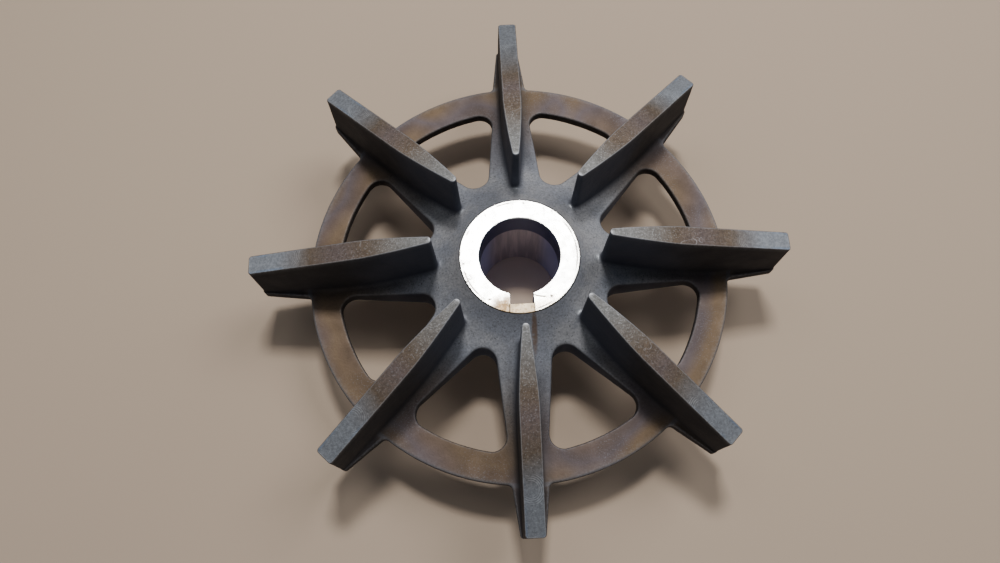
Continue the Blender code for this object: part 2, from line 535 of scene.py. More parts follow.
@dataclass
class Opening:
    """The rounded three-sided opening between two spokes.

    The wear and side tuples hold one value for each row of the rounded edge.
    """

    outer_radius: float = 65.66
    arc_steps: int = 11
    corner: float = 5.0
    corner_steps: int = 11
    nose: float = 5.2
    nose_steps: int = 7
    spoke_half_width: float = 8.1
    spoke_half_width_at: float = 50.0
    spoke_taper: float = 0.09
    spacing: float = 1.15
    edge: float = 0.75
    edge_wear: tuple[float, ...] = (0.1, 0.8, 0.5, 0.1)
    edge_side: tuple[float, ...] = (0.0, 0.1, 0.6, 1.0)
    wall_shares: tuple[float, ...] = (0.34, 0.67, 1.0)
    under_edge: float = 0.6
    under_steps: int = 2

    def outline(self, pitch: float) -> Outline:
        """Half outline beside the vane on the X axis, from the nose to the outer arc.

        Args:
            pitch: angle between two vanes.

        Returns:
            The outline, with directions into the metal.
        """
        half = pitch / 2.0
        lean = half + math.atan(self.spoke_taper)
        offset = self.spoke_half_width + self.spoke_taper * self.spoke_half_width_at
        apex = offset / (math.sin(half) + self.spoke_taper * math.cos(half))
        normal = lean + math.pi / 2.0
        nose_centre = (apex + self.nose / math.sin(lean), 0.0)
        reach = self.outer_radius - self.corner
        bearing = lean - math.asin((self.corner + apex * math.sin(lean)) / reach)
        corner_centre = (reach * math.cos(bearing), reach * math.sin(bearing))
        nose, nose_out = swept(nose_centre, self.nose, math.pi, normal, self.nose_steps)
        corner, corner_out = swept(corner_centre, self.corner, normal, bearing, self.corner_steps)
        rim, rim_out = swept((0.0, 0.0), self.outer_radius, bearing, 0.0, self.arc_steps)
        side = between(nose[-1], corner[0], self.spacing)
        side_out = np.repeat(nose_out[-1:], len(side), axis=0)
        place = np.concatenate([nose, side, corner, rim[1:]])
        out = np.concatenate([nose_out, side_out, corner_out, rim_out[1:]])
        flipped = np.array([1.0, -1.0])
        out = turned(out * flipped, half)
        return Outline(turned(place * flipped, half), out, out, len(place))


@dataclass
class Rim:
    """The ring's outer edge and the gusset under the vane's outer end.

    The wear and side tuples hold one value for each row of the rounded edge.
    """

    radius: float = 75.9
    ring_steps: int = 18
    root_half_width: float = 6.4
    end_half_width: float = 4.2
    end_radius: float = 92.85
    fillet: float = 1.9
    fillet_steps: int = 7
    spacing: float = 1.15
    edge: float = 0.85
    edge_at_end: float = 0.18
    edge_fades_over: float = 3.0
    edge_rough: float = 0.3
    edge_wear: tuple[float, ...] = (0.5, 0.9, 1.0, 0.6, 0.1)
    edge_side: tuple[float, ...] = (0.0, 0.0, 0.2, 0.7, 1.0)
    under_edge: float = 0.4
    under_steps: int = 3
    wall_rough: float = 0.5
    corner: float = 1.2

    def outline(self, pitch: float) -> Outline:
        """Half outline from the middle of the opening round to the gusset's end.

        Args:
            pitch: angle between two vanes.

        Returns:
            The outline, with directions out of the metal.
        """
        root_x = math.sqrt(self.radius ** 2 - self.root_half_width ** 2)
        lean = math.atan2(self.root_half_width - self.end_half_width, self.end_radius - root_x)
        reach = self.radius + self.fillet
        side_reach = root_x * math.sin(lean) + self.root_half_width * math.cos(lean)
        bearing = math.pi / 2.0 - lean - math.acos((side_reach + self.fillet) / reach)
        centre = (reach * math.cos(bearing), reach * math.sin(bearing))
        ring, ring_out = swept((0.0, 0.0), self.radius, pitch / 2.0, bearing, self.ring_steps)
        start = bearing - math.pi
        fillet, fillet_in = swept(centre, self.fillet, start, -math.pi / 2.0 - lean, self.fillet_steps)
        last = self.end_radius - self.corner * (1.0 - math.sin(lean))
        end = np.array([last, self.root_half_width - math.tan(lean) * (last - root_x)])
        side = np.concatenate([between(fillet[-1], end, self.spacing), end[None]])
        side_out = np.repeat([[math.sin(lean), math.cos(lean)]], len(side), axis=0)
        place = np.concatenate([ring, fillet[1:], side])
        out = np.concatenate([ring_out, -fillet_in[1:], side_out])
        return with_end(place, out, self.corner, self.end_radius, lean)

    def edge_radius(self, place: np.ndarray) -> np.ndarray:
        """Radius of the upper edge, full on the ring and small at the gusset's end.

        Args:
            place: plan places along the rim.

        Returns:
            The radius at each place.
        """
        share = np.clip((place[:, 0] - self.radius) / (self.end_radius - self.radius), 0.0, 1.0)
        beside = np.clip(1.0 - (place[:, 1] - self.root_half_width) / self.edge_fades_over, 0.0, 1.0)
        return self.edge + (self.edge_at_end - self.edge) * share * beside


@dataclass
class Sector:
    """One vane pitch of the wheel: vane, spoke, half openings, ring and gusset.

    The spacings are distances between mesh points: on the web's two faces, along
    the vane's axis, along the pitch line and along the ledge at the gusset's end.
    """

    form: WebForm
    vane: Vane = field(default_factory=Vane)
    opening: Opening = field(default_factory=Opening)
    rim: Rim = field(default_factory=Rim)
    pitch: float = 2.0 * math.pi / VANES
    hub_steps: int = 6
    wall_levels: int = 9
    round_levels: int = 4
    settling_rounds: int = 3
    first_level: float = 0.25
    web_spacing: float = 1.25
    web_margin: float = 0.55
    under_spacing: float = 2.6
    under_margin: float = 0.5
    spine_inset: Point2 = (0.9, 0.7)
    axis_spacing: float = 1.4
    pitch_spacing: float = 1.2
    ledge_spacing: float = 0.3

    def build(self) -> bpy.types.Mesh:
        """Build the half pitch, mirror it and return it as a mesh.

        Returns:
            The mesh of one pitch.
        """
        work = Patchwork()
        vane_rows = self.vane_rows(work)
        opening_rows = self.opening_rows(work)
        rim_rows = self.rim_rows(work)
        ledge = self.faces(work, vane_rows, opening_rows, rim_rows)
        self.end_face(work, vane_rows, rim_rows, ledge)
        work.mirrored()
        return work.to_mesh("vane_pitch")

    def vane_rows(self, work: Patchwork) -> list[Ring]:
        """Add the vane from the top's edge down to the end of its foot fillet.

        Args:
            work: the mesh under construction.

        Returns:
            The rows, from the top down.
        """
        vane, form = self.vane, self.form
        outline = vane.outline()
        edge = vane.edge
        tops = vane.top_height(outline.place[:, 0])
        rows = [work.ring(outline.moved(-edge - vane.edge_inset), tops, rough=0.0)]
        for step, (inset, drop) in enumerate(quarter_round(self.round_levels - 1)):
            rows.append(work.ring(outline.moved(-edge * inset), tops - edge * drop,
                                  wear=1.0, rough=0.0, side=step * vane.edge_side))
        tops = tops[:outline.turn]
        feet = vane.foot_radius(outline.place[:outline.turn, 0])
        base = outline.slid(0.0)
        for _ in range(self.settling_rounds):
            base = outline.slid(vane.draft * (tops - form.height(base) - feet))
        floor = form.height(base) + feet
        for step in range(1, self.wall_levels + 1):
            share = (step - 1 + self.first_level) / self.wall_levels if step < self.wall_levels else 1.0
            heights = (tops - edge) + (floor - tops + edge) * share
            plan = outline.slid(vane.draft * (tops - heights))
            rows.append(work.ring(plan, heights, wear=vane.worn_wall if step == 1 else 0.0,
                                  rough=min(1.0, step / vane.rough_after), side=1.0))
        levels = self.round_levels + 1
        for step, (rise, out) in enumerate(quarter_round(levels)[1:], 1):
            plan = base + outline.side[:outline.turn] * (feet * out)[:, None]
            rows.append(work.ring(plan, form.height(plan) + feet * rise, side=1.0 - step / levels))
        work.bands(rows, Skin.CAST, first=Skin.MILLED)
        return rows

    def opening_rows(self, work: Patchwork) -> list[Ring]:
        """Add the opening's wall from the web's upper face to the underside.

        Args:
            work: the mesh under construction.

        Returns:
            The rows, from the top down.
        """
        opening, form = self.opening, self.form
        outline = opening.outline(self.pitch)
        edge, under = opening.edge, opening.under_edge
        rounds = zip(quarter_round(self.round_levels - 1), opening.edge_wear, opening.edge_side)
        rows = []
        for (inset, drop), wear, side in rounds:
            plan = outline.moved(edge * inset)
            rows.append(work.ring(plan, form.height(plan) - edge * drop, wear=wear, side=side))
        top = form.height(outline.place) - edge
        for share in opening.wall_shares:
            heights = top + (form.underside + under - top) * share
            rows.append(work.ring(outline.place, heights, side=1.0))
        steps = opening.under_steps
        for step, (rise, inset) in enumerate(quarter_round(steps)[1:], 1):
            heights = form.underside + under * rise
            rows.append(work.ring(outline.moved(under * inset), heights, side=1.0 - step / (2.0 * steps)))
        work.bands(rows, Skin.CAST, inward=True)
        return rows

    def rim_rows(self, work: Patchwork) -> list[Ring]:
        """Add the ring's outer wall from the upper face to the underside.

        Args:
            work: the mesh under construction.

        Returns:
            The rows, from the top down.
        """
        rim, form = self.rim, self.form
        outline = rim.outline(self.pitch)
        edges = rim.edge_radius(outline.place)[:outline.turn]
        under = rim.under_edge
        rounds = zip(quarter_round(self.round_levels), rim.edge_wear, rim.edge_side)
        rows = []
        for (inset, drop), wear, side in rounds:
            rows.append(work.ring(outline.slid(-edges * inset), form.ring_top - edges * drop,
                                  wear=wear, rough=rim.edge_rough, side=side))
        middle = (form.ring_top - edges + form.underside + under) / 2.0
        rows.append(work.ring(outline.slid(0.0), middle, rough=rim.wall_rough, side=1.0))
        steps = rim.under_steps
        for step, (rise, inset) in enumerate(quarter_round(steps)):
            rows.append(work.ring(outline.moved(-under * inset), form.underside + under * rise,
                                  rough=rim.wall_rough, side=1.0 - step / (2.0 * steps)))
        work.bands(rows, Skin.CAST)
        return rows

    def faces(self, work: Patchwork, vane_rows: list[Ring], opening_rows: list[Ring],
              rim_rows: list[Ring]) -> Ring:
        """Fill the vane's top, the web's upper face and the underside.

        Args:
            work: the mesh under construction.
            vane_rows: rows of the vane, from its top down.
            opening_rows: rows of the opening, from its top down.
            rim_rows: rows of the rim, from its top down.

        Returns:
            The points of the web's upper face along the end.
        """
        form = self.form
        top, foot = vane_rows[0], vane_rows[-1]
        xs = top.place[:, 0]
        xs = xs[(xs > xs[0] + self.spine_inset[0]) & (xs < top.place[-1, 0] - self.spine_inset[1])]
        spine = work.ring(np.stack([xs, np.zeros_like(xs)], 1), self.vane.top_height(xs), rough=0.0)
        work.fill(spine.index + top.index[::-1], np.concatenate([spine.place, top.place[::-1]]), Skin.MILLED)
        hub = self.circle(work, form.weld_radius, form.height)
        ledge = self.line(work, foot.place[-1], rim_rows[0].place[-1], self.ledge_spacing, form.height)
        outline, flat = self.region(work, hub, [foot, ledge], rim_rows[0], opening_rows[0], form.height)
        spots = grid_inside(flat, self.web_spacing, self.web_margin * self.web_spacing)
        work.fill(outline, flat, Skin.CAST, spots, form.height(spots))
        boss = self.circle(work, form.boss_radius, form.low)
        outline, flat = self.region(work, boss, [], rim_rows[-1], opening_rows[-1], form.low)
        spots = grid_inside(flat, self.under_spacing, self.under_margin * self.under_spacing)
        work.fill(outline, flat, Skin.CAST, spots, form.low(spots), flip=True)
        return ledge

    def circle(self, work: Patchwork, radius: float, height: HeightRule) -> Ring:
        """Add a row of points on a circle, from the vane's axis to the pitch line.

        Args:
            work: the mesh under construction.
            radius: distance from the shaft axis.
            height: height of the face at plan places.

        Returns:
            The row.
        """
        angles = np.linspace(0.0, self.pitch / 2.0, self.hub_steps + 1)
        plan = radius * np.stack([np.cos(angles), np.sin(angles)], 1)
        return work.ring(plan, height(plan))

    def line(self, work: Patchwork, start: np.ndarray, end: np.ndarray, spacing: float,
             height: HeightRule) -> Ring:
        """Add a row of points between two places, without the places themselves.

        Args:
            work: the mesh under construction.
            start: plan place of the first end.
            end: plan place of the other end.
            spacing: distance between the points.
            height: height of the face at plan places.

        Returns:
            The row, which may be empty.
        """
        plan = between(start, end, spacing)
        if not len(plan):
            return Ring([], np.zeros((0, 2)))
        return work.ring(plan, height(plan))

    def region(self, work: Patchwork, hub: Ring, rows: list[Ring], rim: Ring,
               opening: Ring, height: HeightRule) -> tuple[list[int], np.ndarray]:
        """Outline of the web between hub, vane, rim and opening, anticlockwise.

        Args:
            work: the mesh under construction.
            hub: row on the hub's circle, from the vane's axis to the pitch line.
            rows: rows between the axis and the rim's last point, or none.
            rim: row along the rim, from the pitch line to the end.
            opening: row round the opening, from its nose to its outer arc.
            height: height of the face at plan places.

        Returns:
            The outline's point indices and plan places.
        """
        goal = rows[0].place[0] if rows else rim.place[-1]
        axis = self.line(work, hub.place[0], goal, self.axis_spacing, height)
        ring_line = self.line(work, rim.place[0], opening.place[-1], self.pitch_spacing, height)
        hub_line = self.line(work, opening.place[0], hub.place[-1], self.pitch_spacing, height)
        index = [hub.index[0]]
        flat = [hub.place[:1]]
        for row in [axis, *rows]:
            index += row.index
            flat.append(row.place)
        index += rim.index[::-1] + ring_line.index + opening.index[::-1] + hub_line.index
        flat += [rim.place[::-1], ring_line.place, opening.place[::-1], hub_line.place]
        index += hub.index[:0:-1]
        flat.append(hub.place[:0:-1])
        return index, np.concatenate(flat)

    def end_face(self, work: Patchwork, vane_rows: list[Ring], rim_rows: list[Ring], ledge: Ring) -> None:
        """Fill the turned end face of the vane and its gusset.

        Args:
            work: the mesh under construction.
            vane_rows: rows of the vane, from its top down.
            rim_rows: rows of the rim, from its top down.
            ledge: points of the web's upper face along the end.
        """
        turn = len(vane_rows[-1].index)
        full = [row for row in vane_rows if len(row.index) > turn]
        outline = full[-1].index[:turn - 2:-1]
        outline += [row.index[-1] for row in vane_rows if len(row.index) == turn]
        outline += ledge.index
        turn = len(rim_rows[0].index)
        outline += [row.index[-1] for row in rim_rows if len(row.index) == turn]
        lowest = next(row for row in rim_rows if len(row.index) > turn)
        outline += lowest.index[turn - 1:]
        flat = np.array([work.points[i][1:] for i in outline])
        work.fill(outline[::-1], flat[::-1], Skin.CAST)


@dataclass
class Hub:
    """The turned core: machined face, keyed bore, foot and lower boss.

    The face rounding gives radius and drop of each row between the web and the
    flat face, and the taper rows are shares of the boss's height.
    """

    form: WebForm
    steps: int = 96
    bore: float = 14.0
    bore_steps: int = 88
    bore_chamfer: float = 0.3
    key_width: float = 8.0
    key_floor: float = 17.3
    key_chamfer: float = 0.15
    key_wall_steps: int = 3
    key_floor_steps: int = 6
    face_rounding: tuple[Point2, ...] = ((20.88, 0.06), (20.7, 0.008), (20.55, 0.0), (20.35, 0.0))
    face_wear: float = 0.8
    face_spacing: float = 1.5
    face_margins: Point2 = (0.6, 0.5)
    foot_radius: float = 21.0
    foot_chamfer: float = 0.8
    boss_fillet: float = 4.0
    boss_fillet_steps: int = 6
    taper_rows: tuple[float, ...] = (0.3, 0.6, 0.9, 1.0)
    rough_above: float = 2.0
    wall_levels: int = 26

    def keyed_outline(self, bore_out: float, key_out: float) -> np.ndarray:
        """Plan outline of the bore with its keyway at -Y, anticlockwise.

        Args:
            bore_out: how far the round part is moved into the metal.
            key_out: how far the keyway's walls are moved into the metal.

        Returns:
            The corners, always the same number.
        """
        radius = self.bore + bore_out
        half = self.key_width / 2.0 + key_out
        floor = -(self.key_floor + key_out)
        notch = math.asin(half / radius)
        start = -math.pi / 2.0 + notch
        arc, _ = swept((0.0, 0.0), radius, start, start + 2.0 * (math.pi - notch), self.bore_steps)
        mouth = -radius * math.cos(notch)
        walls, wide = self.key_wall_steps, self.key_floor_steps
        left = [(-half, mouth + (floor - mouth) * k / walls) for k in range(1, walls + 1)]
        bottom = [(-half + 2.0 * half * k / wide, floor) for k in range(1, wide + 1)]
        right = [(half, floor + (mouth - floor) * k / walls) for k in range(1, walls)]
        return np.concatenate([arc, np.array(left + bottom + right)])

    def circle(self, radius: float) -> np.ndarray:
        """Plan places of a full circle about the shaft axis."""
        angles = 2.0 * math.pi * np.arange(self.steps) / self.steps
        return radius * np.stack([np.cos(angles), np.sin(angles)], 1)

    def build(self) -> bpy.types.Mesh:
        """Build the core.

        Returns:
            A mesh whose two outer circles meet the web.
        """
        work = Patchwork()
        top = self.form.hub_top
        weld = self.circle(self.form.weld_radius)
        rows = [work.ring(weld, self.form.height(weld))]
        for radius, drop in self.face_rounding:
            rows.append(work.ring(self.circle(radius), top - drop, wear=self.face_wear, rough=0.0))
        work.bands(rows, Skin.TURNED, closed=True)
        walls = self.bore_rows(work)
        self.flat_face(work, rows[-1], walls[0], top, False)
        self.flat_face(work, self.foot_rows(work)[-1], walls[-1], 0.0, True)
        return work.to_mesh("hub_core")

    def bore_rows(self, work: Patchwork) -> list[Ring]:
        """Add the bore and keyway from the upper face down to the foot.

        Args:
            work: the mesh under construction.

        Returns:
            The rows, from the top down.
        """
        top = self.form.hub_top
        chamfer = self.bore_chamfer
        wide = self.keyed_outline(chamfer, self.key_chamfer)
        wall = self.keyed_outline(0.0, 0.0)
        rows = [work.ring(wide, top, rough=0.0)]
        for height in np.linspace(top - chamfer, chamfer, self.wall_levels):
            rows.append(work.ring(wall, height, rough=0.0))
        rows.append(work.ring(wide, 0.0, rough=0.0))
        work.bands(rows, Skin.BORE, first=Skin.TURNED, closed=True)
        return rows

    def foot_rows(self, work: Patchwork) -> list[Ring]:
        """Add the lower boss from the web's underside down to the foot's edge.

        Args:
            work: the mesh under construction.

        Returns:
            The rows, from the top down.
        """
        under = self.form.underside
        fillet, low = self.boss_fillet, self.foot_chamfer
        neck = self.form.boss_radius - fillet
        high = under - fillet
        levels = [(neck + fillet * inset, under - fillet * drop)
                  for inset, drop in quarter_round(self.boss_fillet_steps)]
        levels += [(neck + (self.foot_radius - neck) * share, high + (low - high) * share)
                   for share in self.taper_rows]
        levels.append((self.foot_radius - low, 0.0))
        rows = [work.ring(self.circle(radius), height, rough=1.0 if height > self.rough_above else 0.0)
                for radius, height in levels]
        work.bands(rows, Skin.CAST, last=Skin.TURNED, inward=True, closed=True)
        return rows

    def flat_face(self, work: Patchwork, outer: Ring, inner: Ring, height: float, flip: bool) -> None:
        """Fill the flat ring between a circle and the keyed bore.

        Args:
            work: the mesh under construction.
            outer: the circle's points.
            inner: the bore's points.
            height: height of the face.
            flip: whether it faces down.
        """
        spots = grid_inside(outer.place, self.face_spacing, self.face_margins[0])
        spots = spots[~winding(spots, inner.place)]
        spots = spots[distance_to(spots, inner.place) > self.face_margins[1]]
        work.fill(outer.index, outer.place, Skin.TURNED, spots, np.full(len(spots), height),
                  holes=(inner,), flip=flip, rough=0.0)


def feed(tree: bpy.types.NodeTree, node: bpy.types.Node, feeds: dict[int | str, Feed]) -> None:
    """Link a node's inputs or set their constants.

    Args:
        tree: the tree that holds the node.
        node: the node.
        feeds: a socket or a constant for each input that isn't left alone.
    """
    for key, value in feeds.items():
        sink = node.inputs[key]
        if isinstance(value, Socket):
            tree.links.new(value, sink)
        elif sink.type == "RGBA":
            sink.default_value = (*value, 1.0)
        else:
            sink.default_value = value


def add_node(tree: bpy.types.NodeTree, kind: str, feeds: dict[int | str, Feed] | None = None,
             **settings: object) -> bpy.types.Node:
    """Add a node to a tree.

    Args:
        tree: the tree of a material or of Geometry Nodes.
        kind: the node's type.
        feeds: a socket or a constant for each input that isn't left alone.
        **settings: the node's own settings, such as its operation.

    Returns:
        The node.
    """
    node = tree.nodes.new(kind)
    for name, value in settings.items():
        setattr(node, name, value)
    feed(tree, node, feeds or {})
    return node


@dataclass
class PitchPattern:
    """Geometry Nodes that repeat one vane pitch round the shaft axis and weld the copies."""

    count: int = VANES
    weld: float = 0.002

    def tree(self) -> bpy.types.GeometryNodeTree:
        """Build the node tree.

        Returns:
            The tree, with the count, the weld distance and the materials as named inputs.
        """
        tree = bpy.data.node_groups.new("pitch_round_shaft", "GeometryNodeTree")
        inputs = {"Geometry": "Geometry", "Vane Count": "Int", "Weld Distance": "Float"}
        inputs |= {f"{skin.name} Material": "Material" for skin in Skin}
        for name, kind in inputs.items():
            tree.interface.new_socket(name, in_out="INPUT", socket_type=f"NodeSocket{kind}")
        tree.interface.new_socket("Geometry", in_out="OUTPUT", socket_type="NodeSocketGeometry")
        source = add_node(tree, "NodeGroupInput").outputs
        line = add_node(tree, "GeometryNodeMeshLine", {
            "Offset": (0.0, 0.0, 0.0), "Count": source["Vane Count"]})
        index = add_node(tree, "GeometryNodeInputIndex").outputs[0]
        share = add_node(tree, "ShaderNodeMath", {0: index, 1: source["Vane Count"]}, operation="DIVIDE")
        turn = add_node(tree, "ShaderNodeMath", {0: share.outputs[0], 1: 2.0 * math.pi}, operation="MULTIPLY")
        spin = add_node(tree, "ShaderNodeCombineXYZ", {"Z": turn.outputs[0]})
        copies = add_node(tree, "GeometryNodeInstanceOnPoints", {
            "Points": line.outputs["Mesh"], "Instance": source["Geometry"], "Rotation": spin.outputs[0]})
        real = add_node(tree, "GeometryNodeRealizeInstances", {0: copies.outputs[0]})
        last = add_node(tree, "GeometryNodeMergeByDistance", {
            "Geometry": real.outputs[0], "Distance": source["Weld Distance"]})
        for skin in Skin:
            slot = add_node(tree, "GeometryNodeInputMaterialIndex").outputs[0]
            picked = add_node(tree, "FunctionNodeCompare", {"A": slot, "B": skin.value},
                              data_type="INT", operation="EQUAL")
            last = add_node(tree, "GeometryNodeSetMaterial", {
                "Geometry": last.outputs[0], "Selection": picked.outputs[0],
                "Material": source[f"{skin.name} Material"]})
        add_node(tree, "NodeGroupOutput", {0: last.outputs[0]})
        return tree

    def repeat(self, pitch: bpy.types.Object, materials: dict[Skin, bpy.types.Material]) -> bpy.types.Mesh:
        """Repeat an object's mesh round the shaft.

        Args:
            pitch: object with one pitch's mesh.
            materials: the material of each finish.

        Returns:
            The whole wheel as a plain mesh.
        """
        values = {"Vane Count": self.count, "Weld Distance": self.weld * MM}
        values |= {f"{skin.name} Material": material for skin, material in materials.items()}
        step = pitch.modifiers.new("pitch_round_shaft", "NODES")
        step.node_group = self.tree()
        for item in step.node_group.interface.items_tree:
            if item.in_out == "INPUT" and item.name in values:
                step[item.identifier] = values[item.name]
        graph = bpy.context.evaluated_depsgraph_get()
        return bpy.data.meshes.new_from_object(pitch.evaluated_get(graph))


@dataclass(frozen=True)
class Ramp:
    """A smooth step that takes the values from low to high to another range."""

    low: float
    high: float
    at_low: float = 0.0
    at_high: float = 1.0


@dataclass(frozen=True)
class Window:
    """A stretch of values that fades in over one span and out over another."""

    rise: Point2
    fall: Point2


@dataclass(frozen=True)
class Grain:
    """A noise pattern, in features per metre, and the step that its values take."""

    scale: float
    detail: float = 3.0
    roughness: float = 0.55
    distortion: float = 0.0
    step: Ramp = Ramp(0.3, 0.7)


@dataclass(frozen=True)
class Patch:
    """A patch about a plan place, full within one distance and gone past the other."""

    x: float
    y: float
    full: float
    gone: float
    stretch: Point2 = (1.0, 1.0)


@dataclass(frozen=True)
class Relief:
    """Height of a bump in millimetres, and its strength."""

    height: float
    strength: float


class NodePen:
    """Short forms for building a material's nodes."""

    def __init__(self, name: str) -> None:
        """Start a material with a Principled shader.

        Args:
            name: the material's name.
        """
        self.material = bpy.data.materials.new(name)
        self.material.use_nodes = True
        self.tree = self.material.node_tree
        self.place = self.add("ShaderNodeTexCoord").outputs["Object"]

    def add(self, kind: str, feeds: dict[int | str, Feed] | None = None,
            **settings: object) -> bpy.types.Node:
        """Add a node of a type to the material, with its feeds and settings."""
        return add_node(self.tree, kind, feeds, **settings)

    def dress(self, base: Feed, metallic: float, roughness: Feed,
              normal: Socket | None = None) -> bpy.types.Material:
        """Feed the shader.

        Args:
            base: base colour.
            metallic: how far it is bare metal.
            roughness: its roughness.
            normal: result of a bump, where there is one.

        Returns:
            The finished material.
        """
        feeds = {"Base Color": base, "Metallic": metallic, "Roughness": roughness}
        if normal is not None:
            feeds["Normal"] = normal
        feed(self.tree, self.tree.nodes["Principled BSDF"], feeds)
        return self.material

    def math(self, operation: str, a: Feed, b: Feed = 0.0) -> Socket:
        """A Math node's result."""
        return self.add("ShaderNodeMath", {0: a, 1: b}, operation=operation).outputs[0]

    def times(self, *factors: Feed) -> Socket:
        """The product of several values."""
        return reduce(partial(self.math, "MULTIPLY"), factors)

    def plus(self, a: Feed, b: Feed) -> Socket:
        """The sum of two values."""
        return self.math("ADD", a, b)

    def minus(self, a: Feed, b: Feed) -> Socket:
        """The difference of two values."""
        return self.math("SUBTRACT", a, b)

    def most(self, *values: Feed) -> Socket:
        """The greatest of several values."""
        return reduce(partial(self.math, "MAXIMUM"), values)

    def off(self, value: Feed, middle: float = 0.0) -> Socket:
        """How far a value lies from a middle one, on either side."""
        return self.math("ABSOLUTE", self.minus(value, middle) if middle else value)

    def length(self, a: Feed, b: Feed) -> Socket:
        """The length of a vector with two parts."""
        return self.math("SQRT", self.plus(self.times(a, a), self.times(b, b)))

    def waves(self, value: Feed, pitch: float) -> Socket:
        """A sine over a value, with the distance between two crests."""
        return self.math("SINE", self.times(value, 2.0 * math.pi / pitch))

    def noise(self, grain: Grain, vector: Socket | None = None) -> Socket:
        """A grain's noise, before its step.

        Args:
            grain: the pattern.
            vector: coordinates, where they aren't the object's own.

        Returns:
            The noise value.
        """
        return self.add("ShaderNodeTexNoise", {
            "Vector": vector or self.place, "Scale": grain.scale, "Detail": grain.detail,
            "Roughness": grain.roughness, "Distortion": grain.distortion}).outputs[0]

    def patches(self, grain: Grain) -> Socket:
        """A grain's noise after its step."""
        return self.ramp(self.noise(grain), grain.step)

    def drift(self, grain: Grain, reach: float) -> Socket:
        """A grain's noise about zero, times a reach."""
        return self.times(self.minus(self.noise(grain), 0.5), reach)

    def layer(self, layer: Layer) -> Socket:
        """A point attribute's value."""
        return self.add("ShaderNodeAttribute", attribute_name=layer.value).outputs["Fac"]

    def ramp(self, value: Feed, step: Ramp) -> Socket:
        """A value taken from one range to another.

        Args:
            value: the value.
            step: the two ranges.

        Returns:
            The value after the smooth step.
        """
        return self.add("ShaderNodeMapRange", {
            "Value": value, "From Min": step.low, "From Max": step.high,
            "To Min": step.at_low, "To Max": step.at_high}, interpolation_type="SMOOTHSTEP").outputs[0]

    def within(self, value: Feed, window: Window) -> Socket:
        """1 where a value lies within a window, 0 outside."""
        risen = self.ramp(value, Ramp(*window.rise))
        return self.times(risen, self.ramp(value, Ramp(*window.fall, 1.0, 0.0)))

    def blend(self, share: Feed, a: Feed, b: float) -> Socket:
        """A value that runs from one to another with the share."""
        return self.plus(a, self.times(share, self.minus(b, a)))

    def colours(self, value: Feed, stops: tuple[tuple[float, Colour], ...]) -> Socket:
        """A colour ramp over a value.

        Args:
            value: the value.
            stops: the colour at each place.

        Returns:
            The colour.
        """
        node = self.add("ShaderNodeValToRGB", {0: value})
        elements = node.color_ramp.elements
        while len(elements) < len(stops):
            elements.new(0.5)
        for element, (position, colour) in zip(elements, stops):
            element.position = position
            element.color = (*colour, 1.0)
        return node.outputs[0]

    def mix(self, share: Feed, a: Feed, b: Feed, way: str = "MIX") -> Socket:
        """Two colours mixed.

        Args:
            share: how much of the second colour counts.
            a: the first colour.
            b: the second colour.
            way: Blender's name of the way to mix them.

        Returns:
            The mixed colour.
        """
        # The colours of a Mix node are inputs 6 and 7 and output 2
        feeds = {0: share, 6: a, 7: b}
        return self.add("ShaderNodeMix", feeds, data_type="RGBA", blend_type=way).outputs[2]

    def dimmed(self, colour: Feed, factor: Socket) -> Socket:
        """A colour multiplied by one value."""
        grey = self.add("ShaderNodeCombineColor", {0: factor, 1: factor, 2: factor}).outputs[0]
        return self.mix(1.0, colour, grey, "MULTIPLY")

    def bump(self, height: Feed, relief: Relief, under: Socket | None = None) -> Socket:
        """A bump.

        Args:
            height: share of the relief's height.
            relief: its height and strength.
            under: result of a bump beneath this one.

        Returns:
            The bumped normal.
        """
        feeds = {"Strength": relief.strength, "Distance": relief.height * MM, "Height": height}
        if under is not None:
            feeds["Normal"] = under
        return self.add("ShaderNodeBump", feeds).outputs[0]

    def axes(self) -> tuple[Socket, Socket, Socket]:
        """Object coordinates as three values, in millimetres."""
        parts = self.add("ShaderNodeSeparateXYZ", {0: self.place}).outputs
        return tuple(self.times(part, 1.0 / MM) for part in parts)

    def radius(self) -> Socket:
        """Distance from the shaft axis, in millimetres."""
        return self.length(*self.axes()[:2])

    def near(self, patch: Patch) -> Socket:
        """1 inside a patch, 0 outside.

        Args:
            patch: the patch.

        Returns:
            The value.
        """
        x, y, _ = self.axes()
        across = self.times(self.minus(x, patch.x), patch.stretch[0])
        along = self.times(self.minus(y, patch.y), patch.stretch[1])
        return self.ramp(self.length(across, along), Ramp(patch.full, patch.gone, 1.0, 0.0))


